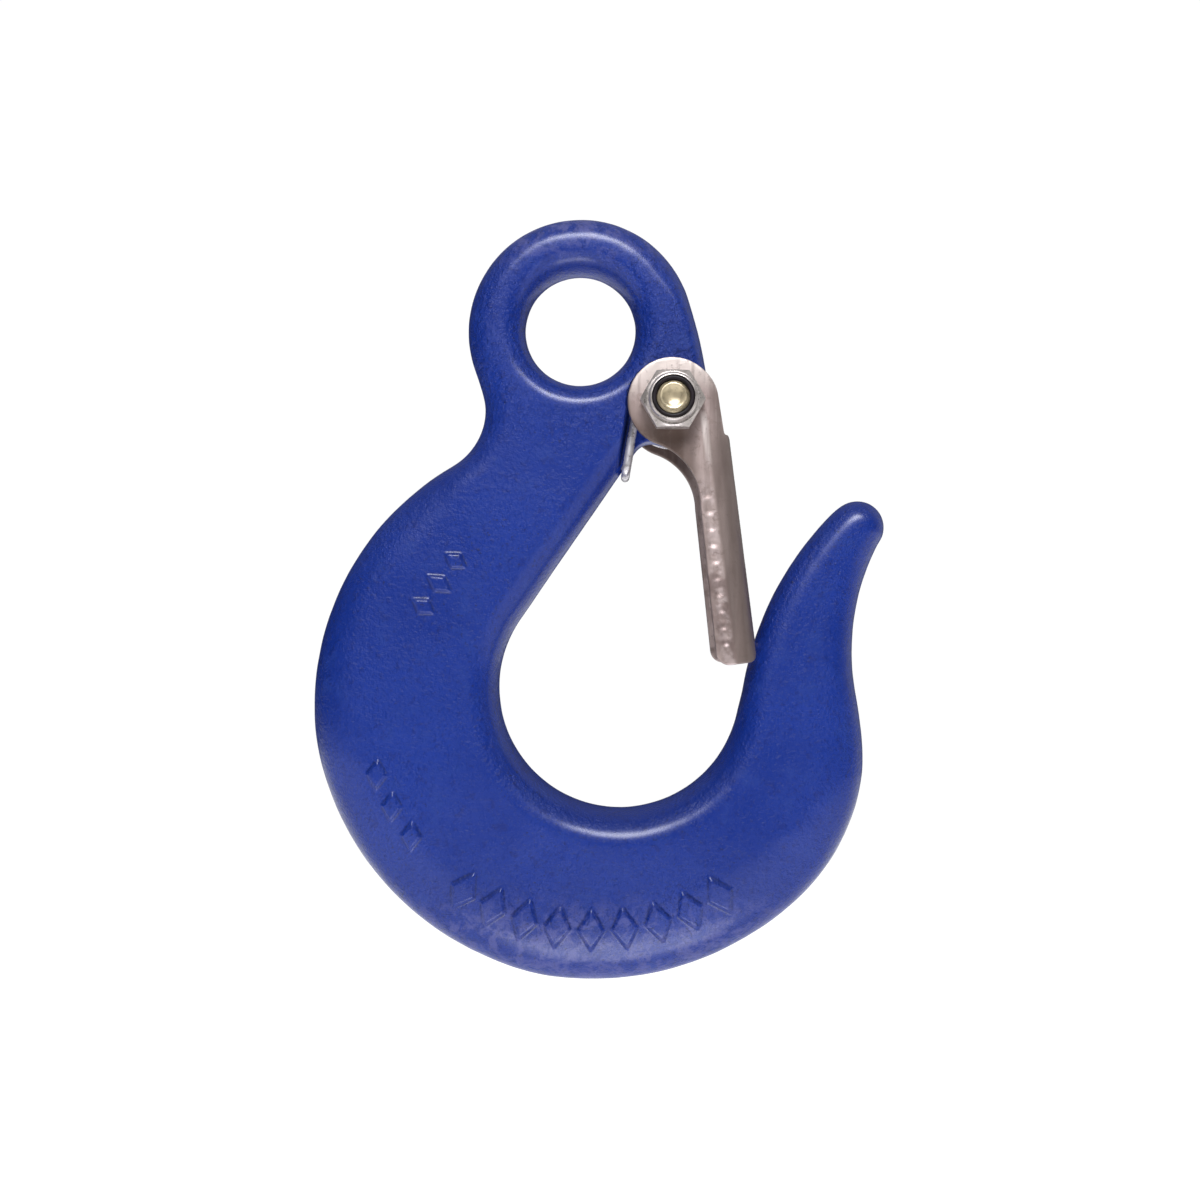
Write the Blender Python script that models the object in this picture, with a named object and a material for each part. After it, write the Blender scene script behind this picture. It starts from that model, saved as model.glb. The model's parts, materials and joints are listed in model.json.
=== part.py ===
"""Forged eye hook with a spring-loaded safety latch.

Frame: metres, +Z up, +Y through the thickness, origin at the centre of the eye.
The hook lies in the X-Z plane and opens towards +X; its tip points up.
The front face is the -Y side.
"""

import math

import bmesh
import bpy
import numpy as np
from mathutils import Matrix, Vector
from mathutils.geometry import delaunay_2d_cdt

MM = 0.001

# ---- driving dimensions, millimetres and degrees ----------------------------
EYE_HOLE_R = 17.0
EYE_HOLE_EDGE = 7.5          # edge rounding round the eye hole

PIVOT_X, PIVOT_Z = 28.2, -24.0
LUG_R = 12.2
LUG_HALF = 4.75              # half thickness of the lug inside the latch
POCKET_R = 13.1              # forged pocket round the pivot, each side
BORE_R = 5.35

SHANK_ANGLE = 55.46          # inner line of the shank, above horizontal
BOWL_X, BOWL_Z, BOWL_R = 12.2, -111.1, 37.4
LUG_FILLET_R = 6.0
SIDE_ANGLE = 12.66           # right side line, off vertical

SHEET = 2.5                  # latch sheet
LATCH_HALF_W = 15.0          # half of its outer width
LATCH_BEND_R = 6.0           # outer bend radius
LATCH_TILT = 7.2             # web off vertical at rest, bottom outwards
EAR_R = 13.5
EAR_HOLE_R = 5.35
WEB_OUT = 16.2               # pivot to the web's outer face
WEB_TOP = 12.6               # pivot down to the web's top edge
WEB_END = 75.4               # pivot down to the web's lower edge, clear of the tip
LATCH_END = 81.3             # pivot down to the flanges' lower ends

BOLT_R = 4.95
HEX_AF = 17.0
HEAD_H = 6.4
NUT_H = 10.0
NUT_HEX_H = 6.9
COLLAR_R = 7.35
LIP_R = 6.45
NUT_BORE_R = 5.3
GAP = 0.3

WIRE_R = 1.3
COIL_R = 10.4                # mean radius
COIL_PITCH = 2.75
SPRING_LOOP = (14.0, -45.4)  # where the loop crosses the shank's inner face

BLUE = (0.020, 0.040, 0.280, 1.0)
STEEL = (0.36, 0.31, 0.29, 1.0)
ZINC = (0.55, 0.53, 0.48, 1.0)
WIRE = (0.50, 0.48, 0.48, 1.0)
NYLON = (0.03, 0.02, 0.03, 1.0)

# The hook's outline, counter-clockwise seen from the front: centre, radius
# (negative where the outline is concave), first and last angle, then the edge
# rounding and how much of the edge is a long taper instead of a round.
s = math.radians(SHANK_ANGLE)
OUTLINE_ARCS = [
    # name           x       z       r      from     to    edge  taper
    ("eye",          0.2,   -0.5,   35.2,   SIDE_ANGLE, 203.0, 8.8, 0.0),
    ("neck",       -47.3,  -25.1,  -17.6,   22.0, -32.0,  9.0, 0.0),
    ("shoulder",     3.3, -116.6,   86.2,  118.5, 184.0, 15.0, 0.15),
    ("heel",         5.6, -113.0,   89.0,  194.0, 246.0, 20.0, 0.5),
    ("bottom",       3.9, -107.7,   94.3,  261.0, 312.0, 25.0, 0.6),
    ("cheek",       22.5, -129.1,   66.1,  326.0, 350.5, 17.0, 0.4),
    ("tip_back",   158.4, -100.0,  -73.6,  192.0, 151.5, 10.0, 0.0),
    ("nose",        86.4,  -61.2,    8.4,  -40.0, 137.0,  8.0, 0.0),
    ("tip_inner",  149.1, -127.2,   99.7,  137.5, 171.5,  8.5, 0.0),
    ("bowl",      BOWL_X, BOWL_Z, -BOWL_R,  -9.0, 90 + SHANK_ANGLE - 360, 10.0, 0.0),
    ("lug",      PIVOT_X, PIVOT_Z,  LUG_R, -108.0, SIDE_ANGLE, 4.5, 0.0),
]
EASE = 2.2                   # eased length at each end of an arc

# Half thickness of the forging at stations along it.
STATIONS = [
    # x        z       half thickness
    (0.0,     0.0,     10.0),
    (-6.0,  -38.0,     10.5),
    (-24.0, -66.0,     11.4),
    (-44.0, -92.0,     12.6),
    (-54.0, -118.0,    14.2),
    (-42.0, -148.0,    15.0),
    (-16.0, -170.0,    15.2),
    (14.0, -175.0,     15.2),
    (42.0, -163.0,     14.6),
    (60.0, -140.0,     13.2),
    (68.0, -116.0,     11.4),
    (76.0, -92.0,       9.6),
    (84.0, -70.0,       8.3),
]
STATION_SPREAD = 13.0

RINGS = 5                    # rings of faces across the rounded edge
MAX_STEP = 6.0


def clear():
    for o in list(bpy.data.objects):
        bpy.data.objects.remove(o)


def material(name, colour, rough, metal):
    m = bpy.data.materials.new(name)
    m.use_nodes = True
    b = m.node_tree.nodes["Principled BSDF"]
    b.inputs["Base Color"].default_value = colour
    b.inputs["Roughness"].default_value = rough
    b.inputs["Metallic"].default_value = metal
    return m


def add(name, bm, mat, smooth_deg=35.0):
    mesh = bpy.data.meshes.new(name)
    bmesh.ops.recalc_face_normals(bm, faces=bm.faces)
    bm.to_mesh(mesh)
    bm.free()
    mesh.materials.append(mat)
    o = bpy.data.objects.new(name, mesh)
    bpy.context.scene.collection.objects.link(o)
    mesh.shade_smooth()
    mesh.set_sharp_from_angle(angle=math.radians(smooth_deg))
    return o


# ---- the hook's outline ------------------------------------------------------
def arc_points(cx, cz, r, a0, a1, step=0.4):
    n = max(3, int(abs(math.radians(a1 - a0)) * abs(r) / step))
    a = np.radians(np.linspace(a0, a1, n + 1))
    return np.column_stack([cx + abs(r) * np.cos(a), cz + abs(r) * np.sin(a)])


def line_points(p, q, step=0.4):
    n = max(2, int(np.hypot(*(np.array(q) - p)) / step))
    t = np.linspace(0, 1, n + 1)[:, None]
    return np.array(p) * (1 - t) + np.array(q) * t


def lug_fillet():
    """Fillet between the shank's inner line, tangent to the bowl, and the lug."""
    d = np.array([math.cos(s), math.sin(s)])
    right = np.array([math.sin(s), -math.cos(s)])
    bowl = np.array([BOWL_X, BOWL_Z])
    start = bowl - right * BOWL_R
    rel = np.array([PIVOT_X, PIVOT_Z]) - start
    foot, off = rel @ d, rel @ right
    reach = math.sqrt((LUG_R + LUG_FILLET_R) ** 2 - (LUG_FILLET_R - off) ** 2)
    centre = start + d * (foot - reach) + right * LUG_FILLET_R
    return start, start + d * (foot - reach), centre


def outline():
    """Dense closed outline with the edge rounding and taper at each point."""
    start, end, centre = lug_fillet()
    parts = []
    for name, cx, cz, r, a0, a1, edge, taper in OUTLINE_ARCS:
        if name == "lug":
            parts.append((line_points(start, end), 9.0, 0.0, 400.0))
            a_line = 90 + SHANK_ANGLE
            to = np.degrees(math.atan2(PIVOT_Z - centre[1], PIVOT_X - centre[0]))
            parts.append((arc_points(*centre, -LUG_FILLET_R, a_line, to), 7.0, 0.0, LUG_FILLET_R))
            a0 = to - 180
        parts.append((arc_points(cx, cz, r, a0, a1), edge, taper, abs(r)))
    pts, edge, taper, rad = [], [], [], []
    n_ease = int(EASE / 0.4)
    for i, (p, e, t, r) in enumerate(parts):
        cut = min(n_ease, (len(p) - 3) // 3)
        p = p[cut:len(p) - cut]
        nxt = parts[(i + 1) % len(parts)][0]
        ncut = min(n_ease, (len(nxt) - 3) // 3)
        q0, q1 = nxt[ncut], nxt[ncut + 1]
        pts.extend(p)
        edge += [e] * len(p)
        taper += [t] * len(p)
        rad += [r] * len(p)
        # a cubic eases each arc into the next
        a, b = p[-1], q0
        span = np.hypot(*(b - a))
        ta = (p[-1] - p[-2]) / np.hypot(*(p[-1] - p[-2])) * span
        tb = (q1 - q0) / np.hypot(*(q1 - q0)) * span
        n = max(2, int(span / 0.4))
        for u in np.arange(1, n) / n:
            h = (2 * u**3 - 3 * u**2 + 1, u**3 - 2 * u**2 + u, -2 * u**3 + 3 * u**2, u**3 - u**2)
            pts.append(h[0] * a + h[1] * ta + h[2] * b + h[3] * tb)
            edge.append(e)
            taper.append(t)
            rad.append(r)
    return np.array(pts), np.array(edge), np.array(taper), np.array(rad)


def ring_smooth(v, length, sigma):
    """Gaussian average round a closed loop, sigma in millimetres."""
    n = len(v)
    step = length / n
    k = int(3 * sigma / step)
    w = np.exp(-0.5 * (np.arange(-k, k + 1) * step / sigma) ** 2)
    w /= w.sum()
    out = np.zeros_like(v, dtype=float)
    for j, wj in zip(range(-k, k + 1), w):
        out += wj * np.roll(v, -j, axis=0)
    return out


def resample(closed, count):
    loop = np.vstack([closed, closed[:1]])
    d = np.concatenate([[0], np.cumsum(np.hypot(*np.diff(loop, axis=0).T))])
    t = np.linspace(0, d[-1], count, endpoint=False)
    return np.column_stack([np.interp(t, d, loop[:, 0]), np.interp(t, d, loop[:, 1])]), t, d


def inscribed_radius(p, n):
    """Radius of the largest circle inside the outline that touches it at each point."""
    hole = np.array(circle(EYE_HOLE_R, 90))
    others = np.vstack([p[::3], hole])
    d = others[None] - p[:, None]
    dot = (d * n[:, None]).sum(2)
    sq = (d**2).sum(2)
    with np.errstate(divide="ignore", invalid="ignore"):
        r = np.where((dot > 1e-6) & (sq > 4.0), sq / (2 * dot), 1e9)
    return r.min(1)


def outline_samples(max_step=MAX_STEP, sag=0.07):
    """Outline points spaced by curvature, with inward normals, rounding and taper."""
    p, edge, taper, rad = outline()
    even, t, d = resample(p, 2400)
    total = d[-1]
    pick = lambda v: np.interp(t, d[:-1], v, period=total)
    edge, taper, rad = pick(edge), pick(taper), pick(rad)
    edge = ring_smooth(edge, total, 5.0)
    taper = ring_smooth(taper, total, 9.0)
    even = ring_smooth(even, total, 0.9)
    tan = np.roll(even, -2, axis=0) - np.roll(even, 2, axis=0)
    tan /= np.hypot(*tan.T)[:, None]
    nrm = np.column_stack([-tan[:, 1], tan[:, 0]])
    room = inscribed_radius(even, nrm) * 0.93
    lowest = np.minimum.reduce([np.roll(np.minimum(edge, room), j) for j in range(-12, 13, 2)])
    edge = np.minimum(ring_smooth(lowest, total, 2.0), room)
    step = np.minimum(max_step, np.sqrt(8 * sag * rad))
    step = ring_smooth(step, total, 2.5)
    dens = 1.0 / step
    cum = np.concatenate([[0], np.cumsum(dens * total / len(even))])
    n = int(math.ceil(cum[-1]))
    at = np.interp(np.arange(n) * cum[-1] / n, cum, np.arange(len(even) + 1))
    f = lambda v: np.interp(at, np.arange(len(even) + 1), np.append(v, v[0]))
    P = np.column_stack([f(even[:, 0]), f(even[:, 1])])
    N = np.column_stack([f(nrm[:, 0]), f(nrm[:, 1])])
    N /= np.hypot(*N.T)[:, None]
    return P, N, f(edge), f(taper)


def half_thickness(p):
    st = np.array(STATIONS)
    d2 = (p[:, None, 0] - st[None, :, 0]) ** 2 + (p[:, None, 1] - st[None, :, 1]) ** 2
    w = np.exp(-(d2 - d2.min(1)[:, None]) / (2 * STATION_SPREAD**2))
    return (w * st[None, :, 2]).sum(1) / w.sum(1)


def edge_profile(u, taper):
    """Share of the full thickness at share u of the way in across the edge."""
    u = np.clip(u, 0, 1)
    round_ = np.sqrt(1 - (1 - u) ** 2)
    v = np.clip(u / 0.3, 0, 1)
    long_ = 0.58 * np.sqrt(1 - (1 - v) ** 2) + 0.42 * (1 - (1 - u) ** 1.8)
    return (1 - taper) * round_ + taper * long_


def forging(name, mat, rings=RINGS, max_step=MAX_STEP, sag=0.07, grid=8.0):
    """The hook's solid: structured rings over the edges, a triangulated face inside."""
    P, N, edge, taper = outline_samples(max_step, sag)
    hn = max(24, int(2 * math.pi * EYE_HOLE_R / min(max_step, math.sqrt(8 * sag * EYE_HOLE_R))))
    a = -np.arange(hn) * 2 * math.pi / hn          # clockwise: material on the left
    HP = np.column_stack([np.cos(a), np.sin(a)]) * EYE_HOLE_R
    HN = HP / EYE_HOLE_R
    loops = [(P, N, edge, taper), (HP, HN, np.full(hn, EYE_HOLE_EDGE), np.zeros(hn))]
    u = 1 - np.cos(np.linspace(0, math.pi / 2, rings + 1))
    bm = bmesh.new()
    flat2d, front_v, back_v, cons, loop_ids = [], [], [], [], []
    for Lp, Ln, Le, Lt in loops:
        n = len(Lp)
        prev_f = prev_b = [bm.verts.new((x * MM, 0, z * MM)) for x, z in Lp]
        for k in range(1, rings + 1):
            q = Lp + Ln * (Le * u[k])[:, None]
            h = half_thickness(q) * edge_profile(np.full(n, u[k]), Lt)
            fr = [bm.verts.new((x * MM, -y * MM, z * MM)) for (x, z), y in zip(q, h)]
            bk = [bm.verts.new((x * MM, y * MM, z * MM)) for (x, z), y in zip(q, h)]
            for i in range(n):
                j = (i + 1) % n
                bm.faces.new((prev_f[i], prev_f[j], fr[j], fr[i]))
                bm.faces.new((prev_b[j], prev_b[i], bk[i], bk[j]))
            prev_f, prev_b = fr, bk
        base = len(flat2d)
        flat2d += [tuple(x) for x in q]
        front_v += prev_f
        back_v += prev_b
        cons += [(base + i, base + (i + 1) % n) for i in range(n)]
        loop_ids.append(list(range(base, base + n)))
    # face interior: a staggered grid kept clear of the ring points
    ring = np.array(flat2d)
    lo, hi = ring.min(0), ring.max(0)
    inner = []
    row = 0
    z = lo[1] + grid / 2
    while z < hi[1]:
        x = lo[0] + (grid / 2 if row % 2 else 0)
        while x < hi[0]:
            inner.append((x, z))
            x += grid
        z += grid * 0.866
        row += 1
    inner = np.array(inner)

    def inside(pts, poly):
        res = np.zeros(len(pts), bool)
        x0, z0 = poly[:, 0], poly[:, 1]
        x1, z1 = np.roll(x0, -1), np.roll(z0, -1)
        for i, (x, z) in enumerate(pts):
            c = (z0 > z) != (z1 > z)
            with np.errstate(divide="ignore", invalid="ignore"):
                xi = x0 + (z - z0) * (x1 - x0) / (z1 - z0)
            res[i] = np.count_nonzero(c & (x < xi)) % 2 == 1
        return res

    outer_poly, hole_poly = ring[loop_ids[0]], ring[loop_ids[1]]
    keep = inside(inner, outer_poly) & ~inside(inner, hole_poly)
    inner = inner[keep]
    near = np.array([np.hypot(*(ring - p).T).min() for p in inner])
    inner = inner[near > grid * 0.5]
    h = half_thickness(inner)
    for (x, z), y in zip(inner, h):
        front_v.append(bm.verts.new((x * MM, -y * MM, z * MM)))
        back_v.append(bm.verts.new((x * MM, y * MM, z * MM)))
    coords = [Vector(p) for p in flat2d] + [Vector(p) for p in inner]
    out = delaunay_2d_cdt(coords, cons, [], 0, 1e-6)
    verts2, faces2, orig = out[0], out[2], out[3]
    idx = [o[0] for o in orig]
    cent = np.array([[sum(verts2[i][c] for i in f) / 3 for c in (0, 1)] for f in faces2])
    ok = inside(cent, outer_poly) & ~inside(cent, hole_poly)
    for f, good in zip(faces2, ok):
        if good:
            i, j, k = (idx[v] for v in f)
            bm.faces.new((front_v[i], front_v[j], front_v[k]))
            bm.faces.new((back_v[k], back_v[j], back_v[i]))
    return add(name, bm, mat, 60.0)


# ---- small solids ------------------------------------------------------------
def prism(bm, points, y0, y1):
    """Closed prism of an X-Z polygon, in metres, from y0 to y1 in millimetres."""
    a = [bm.verts.new((x * MM, y0 * MM, z * MM)) for x, z in points]
    b = [bm.verts.new((x * MM, y1 * MM, z * MM)) for x, z in points]
    n = len(a)
    bm.faces.new(a)
    bm.faces.new(b[::-1])
    for i in range(n):
        bm.faces.new((a[i], b[i], b[(i + 1) % n], a[(i + 1) % n]))


def lathe(bm, profile, seg=40, cx=PIVOT_X, cz=PIVOT_Z):
    """Closed turned solid about the pivot axis. profile: (radius, y) pairs, a closed
    ring of points when every radius is above zero, else a cap-to-cap line."""
    closed = min(r for r, _ in profile) > 1e-9
    rows = []
    for r, y in profile:
        if r < 1e-9:
            rows.append([bm.verts.new((cx * MM, y * MM, cz * MM))])
        else:
            rows.append([
                bm.verts.new(((cx + r * math.cos(2 * math.pi * i / seg)) * MM, y * MM,
                              (cz + r * math.sin(2 * math.pi * i / seg)) * MM))
                for i in range(seg)])
    pairs = list(zip(rows, rows[1:])) + ([(rows[-1], rows[0])] if closed else [])
    for a, b in pairs:
        for i in range(seg):
            j = (i + 1) % seg
            if len(a) == 1:
                bm.faces.new((a[0], b[j], b[i]))
            elif len(b) == 1:
                bm.faces.new((a[i], a[j], b[0]))
            else:
                bm.faces.new((a[i], a[j], b[j], b[i]))


def cutter(name, fill):
    bm = bmesh.new()
    fill(bm)
    bmesh.ops.recalc_face_normals(bm, faces=bm.faces)
    mesh = bpy.data.meshes.new(name)
    bm.to_mesh(mesh)
    bm.free()
    o = bpy.data.objects.new(name, mesh)
    bpy.context.scene.collection.objects.link(o)
    o.hide_render = True
    o.display_type = "WIRE"
    return o


def boolean(o, other, op="DIFFERENCE"):
    m = o.modifiers.new(other.name, "BOOLEAN")
    m.operation = op
    m.solver = "EXACT"
    m.object = other


def circle(r, seg, cx=0.0, cz=0.0, start=0.0):
    return [(cx + r * math.cos(start + 2 * math.pi * i / seg),
             cz + r * math.sin(start + 2 * math.pi * i / seg)) for i in range(seg)]


# ---- latch -------------------------------------------------------------------
def latch_point(u, v):
    """World x, z of a point u down the latch from the pivot and v out to the web."""
    t = math.radians(LATCH_TILT)
    return (PIVOT_X + u * math.sin(t) + v * math.cos(t),
            PIVOT_Z - u * math.cos(t) + v * math.sin(t))


def latch_profile():
    """Side profile of the latch, (u, v) pairs, round from the ear's outer side."""
    pts = []
    lean = math.radians(1.4)                     # the ear's outer edge leans out
    c_u, c_v, c_r = 29.1, -14.3, 18.9            # concave sweep from ear to flange
    # ear: from its tangent with the outer edge, over the top, to the sweep
    a0 = -lean
    a1 = math.atan2(c_u, c_v) - 2 * math.pi      # angle in (v, u), u counted down
    n = 26
    for i in range(n + 1):
        a = a0 + (a1 - a0) * i / n
        pts.append((EAR_R * math.sin(a), EAR_R * math.cos(a)))
    # sweep: from its tangent with the ear to the flange's inner edge
    b0 = math.atan2(-c_u, -c_v)
    b1 = math.atan2(2.0, 18.6)
    n = 10
    for i in range(1, n + 1):
        b = b0 + (b1 - b0) * i / n
        pts.append((c_u + c_r * math.sin(b), c_v + c_r * math.cos(b)))
    pts.append((44.0, 4.7))
    r = 4.0
    cu, cv = LATCH_END - r, 3.6 + r
    for i in range(7):
        b = math.pi + (-math.pi / 2) * i / 6
        pts.append((cu + r * math.sin(b), cv + r * math.cos(b)))
    pts.append((LATCH_END, 13.2))
    pts.append((LATCH_END - 2.6, WEB_OUT + 1))
    top = WEB_TOP - 0.4
    pts.append((top, WEB_OUT + 1))
    v0 = EAR_R / math.cos(lean)
    pts.append((top, v0 + top * math.tan(lean)))
    return pts


def channel(mat):
    """U-channel of bent sheet, long enough to be cut by the side profile."""
    o_r, i_r = LATCH_BEND_R, LATCH_BEND_R - SHEET
    yc, vc = LATCH_HALF_W - o_r, WEB_OUT - o_r
    back = -EAR_R - 3
    sec = [(-LATCH_HALF_W, back)]
    n = 6
    for i in range(n + 1):
        a = math.pi - (math.pi / 2) * i / n
        sec.append((-yc + o_r * math.cos(a), vc + o_r * math.sin(a)))
    for i in range(n + 1):
        a = math.pi / 2 - (math.pi / 2) * i / n
        sec.append((yc + o_r * math.cos(a), vc + o_r * math.sin(a)))
    sec.append((LATCH_HALF_W, back))
    sec.append((LATCH_HALF_W - SHEET, back))
    for i in range(n + 1):
        a = (math.pi / 2) * i / n
        sec.append((yc + i_r * math.cos(a), vc + i_r * math.sin(a)))
    for i in range(n + 1):
        a = math.pi / 2 + (math.pi / 2) * i / n
        sec.append((-yc + i_r * math.cos(a), vc + i_r * math.sin(a)))
    sec.append((-LATCH_HALF_W + SHEET, back))
    bm = bmesh.new()
    rows = []
    for u in (-EAR_R - 3, LATCH_END + 3):
        rows.append([bm.verts.new((latch_point(u, v)[0] * MM, y * MM, latch_point(u, v)[1] * MM))
                     for y, v in sec])
    n = len(sec)
    bm.faces.new(rows[0])
    bm.faces.new(rows[1][::-1])
    for i in range(n):
        j = (i + 1) % n
        bm.faces.new((rows[0][i], rows[1][i], rows[1][j], rows[0][j]))
    o = add("latch", bm, mat, 25.0)
    profile = [latch_point(u, v) for u, v in latch_profile()]
    boolean(o, cutter("cut_latch_profile", lambda b: prism(b, profile, -20, 20)), "INTERSECT")
    notch = [latch_point(u, v) for u, v in
             ((-EAR_R - 5, WEB_OUT - 5.4), (-EAR_R - 5, WEB_OUT + 5), (WEB_TOP, WEB_OUT + 5), (WEB_TOP, WEB_OUT - 5.4))]
    boolean(o, cutter("cut_web_top", lambda b: prism(b, notch, -10.2, 10.2)))
    foot = [latch_point(u, v) for u, v in
            ((WEB_END, WEB_OUT - 5.4), (WEB_END, WEB_OUT + 5), (LATCH_END + 5, WEB_OUT + 5), (LATCH_END + 5, WEB_OUT - 5.4))]
    boolean(o, cutter("cut_web_foot", lambda b: prism(b, foot, -10.2, 10.2)))
    boolean(o, cutter("cut_ear_holes", lambda b: prism(b, circle(EAR_HOLE_R, 32, PIVOT_X, PIVOT_Z), -20, 20)))
    return o


# ---- spring ------------------------------------------------------------------
def leg_direction():
    """Direction of the leg from the loop up to the coil, and its normal to the left."""
    d = np.array([PIVOT_X, PIVOT_Z]) - np.array(SPRING_LOOP)
    reach = np.hypot(*d)
    turn = math.asin(COIL_R / reach)
    d /= reach
    leg = np.array([d[0] * math.cos(turn) - d[1] * math.sin(turn),
                    d[0] * math.sin(turn) + d[1] * math.cos(turn)])
    return leg, np.array([-leg[1], leg[0]])


def pocket():
    """Pocket for the coil round the pivot, run out past the spring's leg."""
    leg, left = leg_direction()
    off = COIL_R + WIRE_R + 0.8
    a_left = math.atan2(left[1], left[0])
    a0 = a_left + math.acos(off / POCKET_R)
    a1 = math.radians(-100)
    pts = [(PIVOT_X + POCKET_R * math.cos(a0 + (a1 - a0) * i / 36),
            PIVOT_Z + POCKET_R * math.sin(a0 + (a1 - a0) * i / 36)) for i in range(37)]
    pts.append((24.0, -52.0))
    p = np.array([PIVOT_X, PIVOT_Z]) + left * off
    pts.append(tuple(p - leg * ((p[1] + 52.0) / leg[1])))
    return pts


def spring_path():
    """Centre line of the front half, loop to leg, as (x, y, z) in millimetres."""
    y_in = LUG_HALF + 0.35 + WIRE_R
    # loop: across the shank's inner face at the middle, then up the leg
    leg_dir, n_leg = leg_direction()
    tangent = np.array([PIVOT_X, PIVOT_Z]) + n_leg * COIL_R
    corner = np.array(SPRING_LOOP)
    pts = [(corner[0], -0.0, corner[1])]
    r = 3.2
    for i in range(0, 7):                        # rounded corner of the loop
        a = (math.pi / 2) * i / 6
        along, side = r * (1 - math.cos(a)), y_in - r + r * math.sin(a)
        p = corner + leg_dir * along
        pts.append((p[0], -side, p[1]))
    length = (tangent - corner) @ leg_dir
    for t in np.linspace(r + 2, length, 6)[:-1]:
        p = corner + leg_dir * t
        pts.append((p[0], -y_in, p[1]))
    a0 = math.atan2(n_leg[1], n_leg[0])
    out = math.radians(10.0)                     # where the outer leg leaves
    sweep = (a0 - out) + 2 * math.pi
    turns = sweep / (2 * math.pi)
    n = int(24 * turns)
    for i in range(n + 1):
        f = i / n
        a = a0 - sweep * f
        y = y_in + COIL_PITCH * turns * f
        pts.append((PIVOT_X + COIL_R * math.cos(a), -y, PIVOT_Z + COIL_R * math.sin(a)))
    y = y_in + COIL_PITCH * turns
    d = np.array([math.sin(out), -math.cos(out)])
    q = np.array([PIVOT_X + COIL_R * math.cos(out), PIVOT_Z + COIL_R * math.sin(out)])
    for t in (5.0, 10.0, 15.0, 20.0):
        p = q + d * t
        pts.append((p[0], -y, p[1]))
    return np.array(pts)


def sweep_tube(bm, path, r, seg):
    """Round tube along a path, with flat ends."""
    t = np.gradient(path, axis=0)
    t /= np.linalg.norm(t, axis=1)[:, None]
    ref = np.array([0.0, 0.0, 1.0])
    nrm = np.cross(t[0], ref)
    nrm /= np.linalg.norm(nrm)
    rows = []
    for i, p in enumerate(path):
        nrm = nrm - t[i] * (nrm @ t[i])
        nrm /= np.linalg.norm(nrm)
        b = np.cross(t[i], nrm)
        rows.append([bm.verts.new(Vector((p + r * (math.cos(2 * math.pi * k / seg) * nrm
                                                   + math.sin(2 * math.pi * k / seg) * b)) * MM))
                     for k in range(seg)])
    for a, b in zip(rows, rows[1:]):
        for k in range(seg):
            m = (k + 1) % seg
            bm.faces.new((a[k], a[m], b[m], b[k]))
    bm.faces.new(rows[0][::-1])
    bm.faces.new(rows[-1])


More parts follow.
